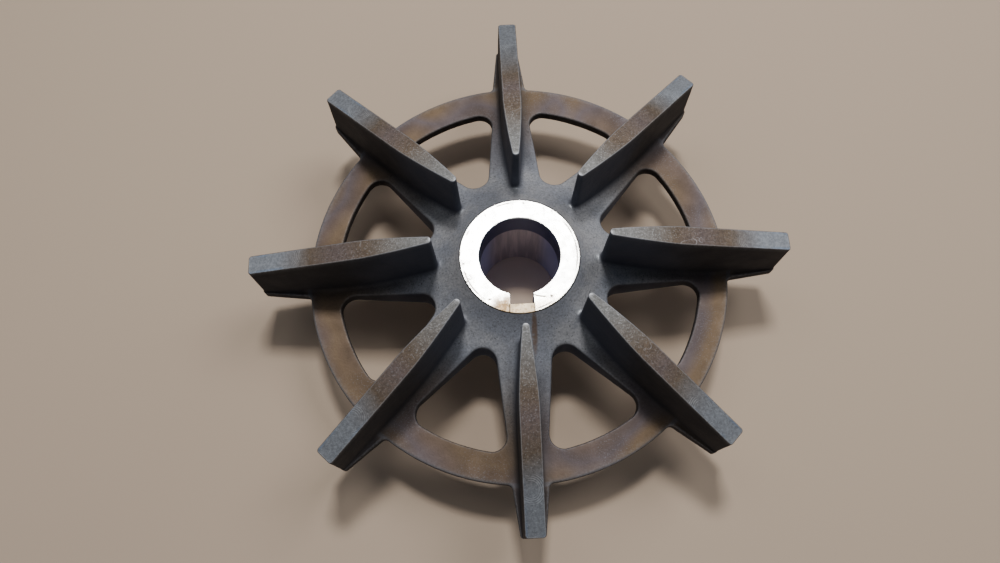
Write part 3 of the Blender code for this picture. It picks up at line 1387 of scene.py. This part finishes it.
@dataclass(frozen=True)
class CastSkin:
    """Cast stainless skin: gunmetal by the hub, heat-tinted brown and gold on the ring.

    Ramps over the radius, along a vane and beside it are in millimetres.
    """

    grey: Colour = (0.392, 0.396, 0.418)
    blue: Colour = (0.272, 0.288, 0.332)
    brown: Colour = (0.184, 0.128, 0.090)
    gold: Colour = (0.240, 0.169, 0.110)
    purple: Colour = (0.186, 0.136, 0.114)
    lilac: Colour = (0.184, 0.149, 0.153)
    # Colour of the painted shade, partly grime and dark oxide
    soot_and_shade: Colour = (0.050, 0.047, 0.050)
    indigo: Colour = (0.088, 0.096, 0.126)
    bright: Colour = (0.40, 0.42, 0.45)
    rust: Colour = (0.185, 0.118, 0.078)
    metallic: float = 0.62
    # Heat tint: where it sets in, and how its colours wander
    tint: Ramp = Ramp(36.0, 66.0)
    tint_waves: Grain = Grain(42.0, 4.0)
    tint_reach: float = 20.0
    blue_patches: Grain = Grain(55.0, 4.0, step=Ramp(0.38, 0.62))
    hue_waves: Grain = Grain(21.0, 2.0, 0.5, 0.3)
    hue_outward: Ramp = Ramp(66.5, 75.5, -0.045, 0.075)
    hue_places: tuple[float, ...] = (0.30, 0.42, 0.53, 0.60, 0.70)
    edge_line: Window = Window((74.9, 75.8), (76.4, 77.2))
    edge_share: float = 0.45
    # Grain of the skin, weaker on the machined ring, and painted glints
    machined: Ramp = Ramp(60.0, 66.0)
    mottle: Grain = Grain(1300.0, 4.0, 0.7, step=Ramp(0.3, 0.7, 0.78, 1.18))
    mottle_loss: float = 0.72
    specks: Grain = Grain(1500.0, 2.0, 0.8, step=Ramp(0.31, 0.40, 0.42, 1.0))
    speck_loss: float = 0.8
    glint: Grain = Grain(2100.0, 1.0, step=Ramp(0.54, 0.76))
    glint_patches: Grain = Grain(60.0, 1.0, step=Ramp(0.4, 0.62))
    glint_share: float = 0.36
    # Painted shade beside the vanes, partly grime, on the gussets, and on the upright sides, partly their
    # dark oxide
    soot_and_shade_beside: Ramp = Ramp(4.4, 9.0, 0.52, 0.0)
    soot_and_shade_along: Ramp = Ramp(33.0, 46.0)
    gusset_shade: Ramp = Ramp(76.3, 79.0, 1.0, 0.55)
    side_warms: Ramp = Ramp(40.0, 64.0)
    side_share: float = 0.96
    # Rubbed edges, the painted highlight on the fillet in front of each vane's nose, and the rust run
    wear_patches: Grain = Grain(1100.0, 3.0, 0.7, step=Ramp(0.32, 0.62, 0.25, 1.0))
    wear_share: float = 0.3
    toe_along: Window = Window((26.0, 27.0), (27.9, 28.7))
    toe_beside: Ramp = Ramp(0.5, 1.7, 1.0, 0.0)
    toe_patches: Grain = Grain(160.0, 2.0, step=Ramp(0.40, 0.56, 0.1, 1.0))
    toe_highlight_share: float = 0.75
    rust_run: Patch = Patch(3.8, -26.0, 0.55, 1.3, (1.0, 0.14))
    rust_patches: Grain = Grain(500.0, step=Ramp(0.3, 0.5, 0.35, 1.0))
    rust_above: Ramp = Ramp(22.0, 24.0)
    rust_share: float = 0.8
    # Roughness and relief
    polish: Grain = Grain(120.0, 4.0, step=Ramp(0.3, 0.7, 0.68, 0.81))
    side_duller: float = 0.14
    toe_smoother: float = 0.30
    wear_smoother: float = 0.16
    fine: Grain = Grain(1500.0, 2.0, 0.6)
    fine_relief: Relief = Relief(0.11, 0.6)
    coarse: Grain = Grain(420.0, 3.0, 0.5)
    coarse_relief: Relief = Relief(0.242, 0.5)

    def build(self) -> bpy.types.Material:
        """Build the material.

        Returns:
            The material.
        """
        pen = NodePen("cast_skin")
        radius = pen.radius()
        side = pen.layer(Layer.SIDE)
        heat = pen.plus(radius, pen.drift(self.tint_waves, self.tint_reach))
        base = self.grained(pen, self.tinted(pen, radius, heat), radius)
        base = self.shaded(pen, base, radius)
        # Painted shade on the upright sides, partly their dark oxide skin, bluer by the hub
        dark = pen.mix(pen.ramp(heat, self.side_warms), self.indigo, self.soot_and_shade)
        base = pen.mix(pen.times(side, self.side_share), base, dark)
        wear = pen.times(pen.layer(Layer.WEAR), pen.patches(self.wear_patches))
        base = pen.mix(pen.times(wear, self.wear_share), base, self.bright)
        # Painted highlight on the fillet in front of each vane's nose
        toe_highlight = self.toe_highlight(pen)
        base = pen.mix(pen.times(toe_highlight, self.toe_highlight_share), base, self.bright)
        rust = pen.times(pen.near(self.rust_run), pen.patches(self.rust_patches),
                         pen.ramp(pen.axes()[2], self.rust_above))
        base = pen.mix(pen.times(rust, self.rust_share), base, self.rust)
        polish = pen.plus(pen.patches(self.polish), pen.times(side, self.side_duller))
        polish = pen.minus(polish, pen.times(toe_highlight, self.toe_smoother))
        polish = pen.minus(polish, pen.times(wear, self.wear_smoother))
        fine = pen.bump(pen.noise(self.fine), self.fine_relief)
        coarse = pen.bump(pen.noise(self.coarse), self.coarse_relief, fine)
        return pen.dress(base, self.metallic, polish, coarse)

    def tinted(self, pen: NodePen, radius: Socket, heat: Socket) -> Socket:
        """Colour of the skin from the hub's gunmetal to the ring's heat tint.

        Args:
            pen: the material's pen.
            radius: distance from the shaft axis.
            heat: the same distance with a wandering border.

        Returns:
            The colour.
        """
        cold = pen.mix(pen.patches(self.blue_patches), self.grey, self.blue)
        hue = pen.plus(pen.noise(self.hue_waves), pen.ramp(radius, self.hue_outward))
        hues = (self.brown, self.gold, self.purple, self.lilac, self.gold)
        warm = pen.colours(hue, tuple(zip(self.hue_places, hues)))
        edge = pen.within(radius, self.edge_line)
        warm = pen.mix(pen.times(edge, self.edge_share), warm, self.blue)
        return pen.mix(pen.ramp(heat, self.tint), cold, warm)

    def grained(self, pen: NodePen, base: Socket, radius: Socket) -> Socket:
        """A colour with the skin's mottle and dark specks, and painted glints.

        Args:
            pen: the material's pen.
            base: the colour.
            radius: distance from the shaft axis.

        Returns:
            The grained colour.
        """
        machined = pen.ramp(radius, self.machined)
        for grain, loss in ((self.mottle, self.mottle_loss), (self.specks, self.speck_loss)):
            base = pen.dimmed(base, pen.blend(pen.times(machined, loss), pen.patches(grain), 1.0))
        # Painted glints: bright specks in patches
        glint = pen.times(pen.patches(self.glint), pen.patches(self.glint_patches), self.glint_share)
        return pen.mix(glint, base, self.bright)

    def shaded(self, pen: NodePen, base: Socket, radius: Socket) -> Socket:
        """A colour with painted shade, partly grime, beside the vanes, and painted shade on the gussets.

        Args:
            pen: the material's pen.
            base: the colour.
            radius: distance from the shaft axis.

        Returns:
            The darkened colour.
        """
        # Painted shade, partly grime, beside each vane's foot; painted shade on the gussets
        beside = pen.times(pen.ramp(pen.layer(Layer.BESIDE), self.soot_and_shade_beside),
                           pen.ramp(pen.layer(Layer.ALONG), self.soot_and_shade_along))
        return pen.dimmed(pen.mix(beside, base, self.soot_and_shade), pen.ramp(radius, self.gusset_shade))

    def toe_highlight(self, pen: NodePen) -> Socket:
        """The painted highlight on the fillet in front of each vane's nose."""
        spot = pen.times(pen.within(pen.layer(Layer.ALONG), self.toe_along),
                         pen.ramp(pen.layer(Layer.BESIDE), self.toe_beside))
        return pen.times(spot, pen.patches(self.toe_patches))


@dataclass(frozen=True)
class MilledTop:
    """Ground vane tops: silver-blue at the tip, brown and purple along the middle, grey inside.

    Ramps along a vane and across it are in millimetres.
    """

    silver: Colour = (0.295, 0.315, 0.350)
    blue: Colour = (0.24, 0.30, 0.40)
    brown: Colour = (0.163, 0.122, 0.090)
    purple: Colour = (0.158, 0.122, 0.114)
    grey: Colour = (0.262, 0.260, 0.256)
    bright: Colour = (0.78, 0.80, 0.84)
    metallic: float = 0.62
    # Heat tint along the vane, with a blue rim near its end
    tint: Ramp = Ramp(26.0, 94.0)
    tint_waves: Grain = Grain(34.0, 3.0, 0.6)
    tint_reach: float = 16.0
    tint_places: tuple[float, ...] = (0.05, 0.30, 0.50, 0.69, 0.92)
    rim_across: Ramp = Ramp(1.9, 3.1)
    rim_along: Ramp = Ramp(72.0, 84.0)
    rim_patches: Grain = Grain(90.0, 2.0, step=Ramp(0.4, 0.6))
    mottle: Grain = Grain(1100.0, 4.0, 0.7, step=Ramp(0.3, 0.7, 0.76, 1.24))
    # Tops that point to either side lose some light at their outer end
    full_light: float = 1.06
    light_lost: Ramp = Ramp(56.0, 78.0, 0.0, 0.42)
    # Bright marks: painted sparkle glints, curled scratches, pad marks, a painted highlight on the nose, and
    # rubbed edges
    sparkle: Grain = Grain(2000.0, 1.0, step=Ramp(0.54, 0.74))
    sparkle_along: Ramp = Ramp(34.0, 66.0, 0.36, 0.12)
    curl_share: float = 0.36
    curl_waves: Grain = Grain(190.0, 0.0, 0.4, 0.6)
    curl_width: Ramp = Ramp(0.003, 0.012, 1.0, 0.0)
    curl_zone: Window = Window((33.0, 37.0), (58.0, 66.0))
    curl_patches: Grain = Grain(95.0, 1.0, step=Ramp(0.545, 0.60))
    swirl_share: float = 0.26
    swirl_at: float = 78.5
    swirl_pitch: float = 0.62
    swirl_waves: Grain = Grain(20.0, 0.0)
    swirl_reach: float = 2.0
    swirl_lines: Ramp = Ramp(0.45, 0.95)
    swirl_zone: Window = Window((1.8, 2.8), (4.6, 5.4))
    swirl_patches: Grain = Grain(130.0, 2.0, step=Ramp(0.46, 0.56))
    nose_waves: Grain = Grain(900.0)
    nose_reach: float = 3.0
    nose_highlight_along: Ramp = Ramp(30.6, 32.0, 0.85, 0.0)
    wear_share: float = 0.35
    # Roughness and relief
    polish: Grain = Grain(260.0, 4.0, step=Ramp(0.3, 0.7, 0.64, 0.80))
    shine_smoother: float = 0.14
    fine: Grain = Grain(1800.0, 2.0)
    fine_relief: Relief = Relief(0.05, 0.5)
    mark_relief: Relief = Relief(0.04, 0.5)

    def build(self) -> bpy.types.Material:
        """Build the material.

        Returns:
            The material.
        """
        pen = NodePen("ground_vane_top")
        along = pen.layer(Layer.ALONG)
        base = self.tinted(pen, along)
        curl = pen.times(self.curls(pen, along), self.curl_share)
        marks = pen.most(pen.times(self.swirl(pen, along), self.swirl_share), curl)
        # Painted sparkle glints on the ground metal
        sparkle = pen.times(pen.patches(self.sparkle), pen.ramp(along, self.sparkle_along))
        # Painted highlight on the vane's nose
        nose = pen.plus(along, pen.times(pen.noise(self.nose_waves), self.nose_reach))
        worn = pen.times(pen.layer(Layer.WEAR), self.wear_share)
        shine = pen.most(sparkle, marks, pen.ramp(nose, self.nose_highlight_along), worn)
        base = pen.mix(shine, base, self.bright)
        polish = pen.minus(pen.patches(self.polish), pen.times(shine, self.shine_smoother))
        fine = pen.bump(pen.noise(self.fine), self.fine_relief)
        return pen.dress(base, self.metallic, polish, pen.bump(marks, self.mark_relief, fine))

    def tinted(self, pen: NodePen, along: Socket) -> Socket:
        """Colour of the ground metal along the vane, with painted shade on tops that point to either side.

        Args:
            pen: the material's pen.
            along: distance along the vane.

        Returns:
            The colour.
        """
        place = pen.plus(along, pen.drift(self.tint_waves, self.tint_reach))
        hues = (self.grey, self.brown, self.purple, self.brown, self.silver)
        base = pen.colours(pen.ramp(place, self.tint), tuple(zip(self.tint_places, hues)))
        rim = pen.times(pen.ramp(pen.off(pen.layer(Layer.ACROSS)), self.rim_across),
                        pen.ramp(along, self.rim_along), pen.patches(self.rim_patches))
        base = pen.dimmed(pen.mix(rim, base, self.blue), pen.patches(self.mottle))
        # Painted shade at the outer end of tops that point to either side
        sideways = pen.math("DIVIDE", pen.off(pen.axes()[1]), pen.radius())
        lost = pen.times(sideways, pen.ramp(along, self.light_lost))
        return pen.dimmed(base, pen.minus(self.full_light, lost))

    def curls(self, pen: NodePen, along: Socket) -> Socket:
        """Short curled scratches on the inner half of the vane.

        Args:
            pen: the material's pen.
            along: distance along the vane.

        Returns:
            1 on a scratch, 0 elsewhere.
        """
        thin = pen.ramp(pen.off(pen.noise(self.curl_waves), 0.5), self.curl_width)
        return pen.times(thin, pen.within(along, self.curl_zone), pen.patches(self.curl_patches))

    def swirl(self, pen: NodePen, along: Socket) -> Socket:
        """Fine arcs that a round pad has left near the vane's outer end.

        Args:
            pen: the material's pen.
            along: distance along the vane.

        Returns:
            1 on an arc, 0 elsewhere.
        """
        sway = pen.times(pen.noise(self.swirl_waves), self.swirl_reach)
        reach = pen.length(pen.minus(along, self.swirl_at), pen.plus(pen.layer(Layer.ACROSS), sway))
        lines = pen.ramp(pen.waves(reach, self.swirl_pitch), self.swirl_lines)
        return pen.times(lines, pen.within(reach, self.swirl_zone), pen.patches(self.swirl_patches))


@dataclass(frozen=True)
class TurnedFace:
    """Bright turned hub face with fine rings, flecks and stains round the keyway.

    Places and ramps over x, y and the radius are in millimetres.
    """

    steel: Colour = (0.95, 0.94, 0.91)
    amber: Colour = (0.300, 0.185, 0.082)
    cream: Colour = (0.560, 0.440, 0.290)
    line: Colour = (0.034, 0.024, 0.014)
    edge: Colour = (0.055, 0.045, 0.035)
    metallic: float = 1.0
    # Stains round the keyway, with a thin line on either side of the cream one
    key_middle: float = -0.1
    beyond_key: Ramp = Ramp(-16.9, -17.6)
    cream_width: Ramp = Ramp(4.1, 4.4, 1.0, 0.0)
    cream_share: float = 0.92
    spots: Grain = Grain(1100.0, 2.0, 0.7, step=Ramp(0.52, 0.62, 0.0, 0.7))
    line_at: float = 4.3
    line_width: Ramp = Ramp(0.12, 0.36, 0.75, 0.0)
    amber_stain: Patch = Patch(-5.8, -18.8, 2.2, 7.0, (1.0, 1.1))
    amber_beside: Ramp = Ramp(-3.9, -4.3)
    amber_patches: Grain = Grain(420.0, 4.0, 0.7, step=Ramp(0.32, 0.6, 0.35, 1.0))
    amber_share: float = 0.95
    dull_towards: Ramp = Ramp(-12.5, -19.5)
    dull_patches: Grain = Grain(160.0, step=Ramp(0.35, 0.6, 0.3, 0.75))
    # Flecks, the scratch from the keyway's corner and two nicks
    fleck_radius: Ramp = Ramp(16.5, 20.0)
    fleck_patches: Grain = Grain(90.0, 1.0, step=Ramp(0.45, 0.6))
    flecks: Grain = Grain(560.0, 2.0, 0.7, step=Ramp(0.58, 0.64))
    fleck_share: float = 0.94
    mark_share: float = 0.97
    scratch_at: float = -14.0
    scratch_slope: float = 0.14
    scratch_waves: Grain = Grain(240.0, 2.0)
    scratch_sway: float = 1.4
    scratch_width: Ramp = Ramp(0.16, 0.42, 1.0, 0.0)
    scratch_run: Window = Window((4.0, 4.4), (7.6, 9.0))
    nicks: tuple[Patch, Patch] = (Patch(10.1, -15.1, 0.35, 0.75), Patch(-11.0, -15.4, 0.3, 1.0, (1.0, 1.6)))
    # Painted shade: a dark ring for a shallow groove and a dark outer edge on the chamfer
    ring_at: float = 19.9
    ring_width: Ramp = Ramp(0.16, 0.46, 1.0, 0.0)
    ring_patches: Grain = Grain(70.0, 2.0, step=Ramp(0.46, 0.56))
    rim_radius: Ramp = Ramp(20.5, 20.8)
    rim_share: float = 0.88
    # Roughness and relief
    polish: Grain = Grain(300.0, 4.0, step=Ramp(0.3, 0.7, 0.20, 0.29))
    film_duller: float = 0.22
    tool_pitch: float = 0.22
    tool_relief: Relief = Relief(0.004, 0.5)

    def build(self) -> bpy.types.Material:
        """Build the material.

        Returns:
            The material.
        """
        pen = NodePen("turned_hub_face")
        radius = pen.radius()
        x, y, _ = pen.axes()
        beyond = pen.ramp(y, self.beyond_key)
        wide = pen.off(x, self.key_middle)
        cream = pen.times(pen.ramp(wide, self.cream_width), beyond)
        amber = pen.times(pen.near(self.amber_stain), pen.ramp(x, self.amber_beside),
                          pen.patches(self.amber_patches))
        lines = pen.times(pen.ramp(pen.off(wide, self.line_at), self.line_width), beyond)
        dull = pen.times(pen.ramp(y, self.dull_towards), pen.patches(self.dull_patches))
        base = pen.mix(dull, self.steel, self.cream)
        base = pen.mix(pen.times(cream, self.cream_share), base, self.cream)
        base = pen.mix(pen.times(cream, pen.patches(self.spots)), base, self.amber)
        base = pen.mix(pen.times(amber, self.amber_share), base, self.amber)
        base = pen.mix(lines, base, self.line)
        flecks = pen.times(pen.patches(self.flecks), pen.ramp(radius, self.fleck_radius),
                           pen.patches(self.fleck_patches), self.fleck_share)
        marks = pen.most(flecks, self.scratch(pen, x, y), *(pen.near(nick) for nick in self.nicks))
        base = pen.mix(pen.times(marks, self.mark_share), base, self.line)
        # Painted shade of a shallow groove and of the outer chamfer
        ring = pen.times(pen.ramp(pen.off(radius, self.ring_at), self.ring_width),
                         pen.patches(self.ring_patches))
        rim = pen.most(ring, pen.ramp(radius, self.rim_radius))
        base = pen.mix(pen.times(rim, self.rim_share), base, self.edge)
        polish = pen.plus(pen.patches(self.polish), pen.times(pen.most(cream, amber), self.film_duller))
        tooled = pen.bump(pen.waves(radius, self.tool_pitch), self.tool_relief)
        return pen.dress(base, self.metallic, polish, tooled)

    def scratch(self, pen: NodePen, x: Socket, y: Socket) -> Socket:
        """The thin scratch from the keyway's corner.

        Args:
            pen: the material's pen.
            x: object coordinate across the keyway.
            y: object coordinate along it.

        Returns:
            1 on the scratch, 0 elsewhere.
        """
        sway = pen.drift(self.scratch_waves, self.scratch_sway)
        drop = pen.plus(pen.times(x, self.scratch_slope), pen.plus(y, sway))
        line = pen.ramp(pen.off(drop, self.scratch_at), self.scratch_width)
        return pen.times(line, pen.within(x, self.scratch_run))


@dataclass(frozen=True)
class BoreWall:
    """Bored wall: a dark blue band under the face, streaked grey-brown metal below.

    The flank is how far to either side of the axis the violet sets in, and the
    band is given by the heights between which it fades in, all in millimetres.
    """

    steel: Colour = (0.52, 0.49, 0.54)
    streak: Colour = (0.70, 0.64, 0.68)
    violet: Colour = (0.58, 0.64, 1.0)
    band: Colour = (0.060, 0.080, 0.180)
    metallic: float = 0.9
    streaks: Grain = Grain(700.0, 3.0, 0.6, step=Ramp(0.4, 0.65))
    streak_stretch: Point3 = (1.0, 1.0, 0.06)
    flank: Ramp = Ramp(7.0, 12.5)
    flank_share: float = 0.85
    band_height: Ramp = Ramp(28.6, 29.4)
    band_share: float = 0.9
    polish: Ramp = Ramp(0.3, 0.7, 0.36, 0.48)
    relief: Relief = Relief(0.03, 0.4)

    def build(self) -> bpy.types.Material:
        """Build the material.

        Returns:
            The material.
        """
        pen = NodePen("bore_wall")
        x, _, z = pen.axes()
        drawn = pen.add("ShaderNodeVectorMath", {0: pen.place, 1: self.streak_stretch}, operation="MULTIPLY")
        streaks = pen.noise(self.streaks, drawn.outputs[0])
        base = pen.mix(pen.ramp(streaks, self.streaks.step), self.steel, self.streak)
        base = pen.mix(pen.times(pen.ramp(pen.off(x), self.flank), self.flank_share), base, self.violet)
        base = pen.mix(pen.times(pen.ramp(z, self.band_height), self.band_share), base, self.band)
        return pen.dress(base, self.metallic, pen.ramp(streaks, self.polish), pen.bump(streaks, self.relief))


def placed(name: str, data: bpy.types.ID) -> bpy.types.Object:
    """Make an object and put it in the scene.

    Args:
        name: the object's name.
        data: its mesh, light or camera.

    Returns:
        The object.
    """
    made = bpy.data.objects.new(name, data)
    bpy.context.scene.collection.objects.link(made)
    return made


@dataclass
class Casting:
    """The whole wheel: repeated pitches, keyed core, cast unevenness and finishes."""

    form: WebForm = field(default_factory=WebForm)
    weld_distance: float = 0.004
    swell: float = 0.07
    swell_size: float = 11.0
    dimple: float = 0.03
    dimple_size: float = 3.0
    sharp_angle: float = 36.0

    def finishes(self) -> dict[Skin, bpy.types.Material]:
        """The material of each finish."""
        makers = {Skin.CAST: CastSkin, Skin.MILLED: MilledTop, Skin.TURNED: TurnedFace, Skin.BORE: BoreWall}
        return {skin: maker().build() for skin, maker in makers.items()}

    def build(self) -> bpy.types.Object:
        """Build, weld and dress the wheel.

        Returns:
            The casting's object.
        """
        materials = self.finishes()
        pitch = placed("vane_pitch", Sector(self.form).build())
        for material in materials.values():
            pitch.data.materials.append(material)
        wheel = PitchPattern().repeat(pitch, materials)
        bpy.data.objects.remove(pitch)
        mesh = self.weld(wheel, Hub(self.form).build(), materials)
        self.roughen(mesh)
        mesh.set_sharp_from_angle(angle=math.radians(self.sharp_angle))
        return placed("cast_impeller", mesh)

    def weld(self, wheel: bpy.types.Mesh, core: bpy.types.Mesh,
             materials: dict[Skin, bpy.types.Material]) -> bpy.types.Mesh:
        """Join the wheel and its core into one closed mesh.

        Args:
            wheel: the repeated pitches.
            core: the keyed hub core.
            materials: the material of each finish.

        Returns:
            The closed mesh, with one slot for each finish.
        """
        order = {materials[skin].name: skin.value for skin in Skin}
        slots = [order[m.name] if m else 0 for m in wheel.materials] or [0]
        index = np.zeros(len(wheel.polygons), np.int32)
        wheel.polygons.foreach_get("material_index", index)
        wheel.polygons.foreach_set("material_index", np.array(slots, np.int32)[index])
        shape = bmesh.new()
        shape.from_mesh(wheel)
        shape.from_mesh(core)
        bmesh.ops.remove_doubles(shape, verts=shape.verts, dist=self.weld_distance * MM)
        bmesh.ops.recalc_face_normals(shape, faces=shape.faces)
        open_edges = sum(1 for edge in shape.edges if len(edge.link_faces) != 2)
        LOG.info("welded casting: %d faces, %d open edges", len(shape.faces), open_edges)
        mesh = bpy.data.meshes.new("cast_impeller")
        shape.to_mesh(mesh)
        shape.free()
        for skin in Skin:
            mesh.materials.append(materials[skin])
        bpy.data.meshes.remove(wheel)
        bpy.data.meshes.remove(core)
        return mesh

    def roughen(self, mesh: bpy.types.Mesh) -> None:
        """Move the cast skin in and out a little, as a sand mould leaves it.

        Args:
            mesh: the welded casting.
        """
        count = len(mesh.vertices)
        places = np.zeros(count * 3, np.float32)
        mesh.vertices.foreach_get("co", places)
        places = places.reshape(-1, 3)
        normals = np.array([vertex.normal for vertex in mesh.vertices])
        weight = np.zeros(count, np.float32)
        mesh.attributes[Layer.ROUGH.value].data.foreach_get("value", weight)
        moves = np.zeros(count)
        for i in np.nonzero(weight)[0]:
            spot = Vector(places[i]) * (1.0 / MM)
            wave = self.swell * noise.noise(spot / self.swell_size)
            grain = self.dimple * noise.noise(spot / self.dimple_size)
            moves[i] = weight[i] * (wave + grain)
        places += normals * (moves * MM)[:, None]
        mesh.vertices.foreach_set("co", places.astype(np.float32).ravel())
        mesh.update()


@dataclass(frozen=True)
class SoftLight:
    """A rectangular soft light that faces the casting.

    The tilt is from the vertical and the heading in plan from +X, both in
    degrees. Distance and size are metres. The strength is the light that
    reaches the casting, the same at any distance.
    """

    name: str
    tilt: float
    heading: float
    distance: float
    size: Point2
    strength: float
    colour: Colour = (1.0, 0.985, 0.96)

    def build(self, aim: Vector) -> None:
        """Add the light to the scene.

        Args:
            aim: the place that it faces.
        """
        data = bpy.data.lights.new(self.name, "AREA")
        data.shape = "RECTANGLE"
        data.size, data.size_y = self.size
        data.energy = self.strength * (math.pi * self.distance) ** 2
        data.color = self.colour
        tilt, turn = math.radians(self.tilt), math.radians(self.heading)
        flat = self.distance * math.sin(tilt)
        place = Vector((flat * math.cos(turn), flat * math.sin(turn), self.distance * math.cos(tilt)))
        lamp = placed(self.name, data)
        lamp.location = place + aim
        lamp.rotation_mode = "QUATERNION"
        lamp.rotation_quaternion = (-place).to_track_quat("-Z", "Y")


@dataclass
class Studio:
    """Floor, lights, sky and camera, in metres; the lens and its sensor in millimetres.

    The lights are a broad overhead one behind the casting, one on each side and
    two low fills.
    """

    focal: float = 27.967
    sensor: float = 36.0
    clip: Point2 = (0.01, 50.0)
    eye: Point3 = (-0.00934, -0.09233, 0.29161)
    turn: Point3 = (0.31911, 0.00651, -0.04547)
    floor_colour: Colour = (0.585, 0.455, 0.345)
    floor_roughness: float = 0.85
    floor_half: float = 3.0
    sky: Colour = (0.45, 0.51, 0.60)
    sky_strength: float = 0.14
    aim: Vector = field(default_factory=lambda: Vector((0.0, 0.0, 0.03)))
    lights: tuple[SoftLight, ...] = (
        SoftLight("overhead_light", 21.0, 88.0, 0.80, (0.12, 0.10), 0.605),
        SoftLight("right_light", 36.0, 34.0, 1.25, (0.55, 0.45), 0.29),
        SoftLight("left_light", 30.0, 138.0, 1.25, (0.50, 0.50), 0.07),
        SoftLight("low_light", 75.0, 45.0, 1.25, (0.40, 0.40), 0.10, (0.95, 0.97, 1.0)),
        SoftLight("front_fill", 64.0, 262.0, 1.25, (1.0, 0.6), 0.075, (0.98, 0.98, 1.0)),
    )

    def build(self) -> None:
        """Add everything that isn't part of the object."""
        self.floor()
        self.world()
        for light in self.lights:
            light.build(self.aim)
        self.camera()

    def floor(self) -> None:
        """Add the plain pale floor."""
        mesh = bpy.data.meshes.new("studio_floor")
        half = self.floor_half
        corners = [(-half, -half, 0.0), (half, -half, 0.0), (half, half, 0.0), (-half, half, 0.0)]
        mesh.from_pydata(corners, [], [(0, 1, 2, 3)])
        mesh.materials.append(NodePen("studio_floor").dress(self.floor_colour, 0.0, self.floor_roughness))
        floor = placed("studio_floor", mesh)

    def world(self) -> None:
        """Add the even light of the room."""
        world = bpy.data.worlds.new("studio")
        world.use_nodes = True
        back = world.node_tree.nodes["Background"]
        feed(world.node_tree, back, {"Color": self.sky, "Strength": self.sky_strength})
        bpy.context.scene.world = world

    def camera(self) -> None:
        """Add the camera at the photograph's place and angle."""
        data = bpy.data.cameras.new("photo_view")
        data.sensor_width = self.sensor
        data.lens = self.focal
        data.clip_start, data.clip_end = self.clip
        data.dof.use_dof = False
        camera = placed("photo_view", data)
        camera.location = self.eye
        camera.rotation_euler = self.turn
        bpy.context.scene.camera = camera


def main() -> None:
    """Load the frame, build the casting and the studio, and note the sizes."""
    logging.basicConfig(level=logging.INFO, format="%(name)s: %(message)s")
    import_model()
    casting = Casting().build()
    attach(casting, "root")
    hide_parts(NODE)
    LOG.info("%s: %d points, %d faces", casting.name, len(casting.data.vertices), len(casting.data.polygons))
    Studio().build()


if __name__ == "__main__":
    main()
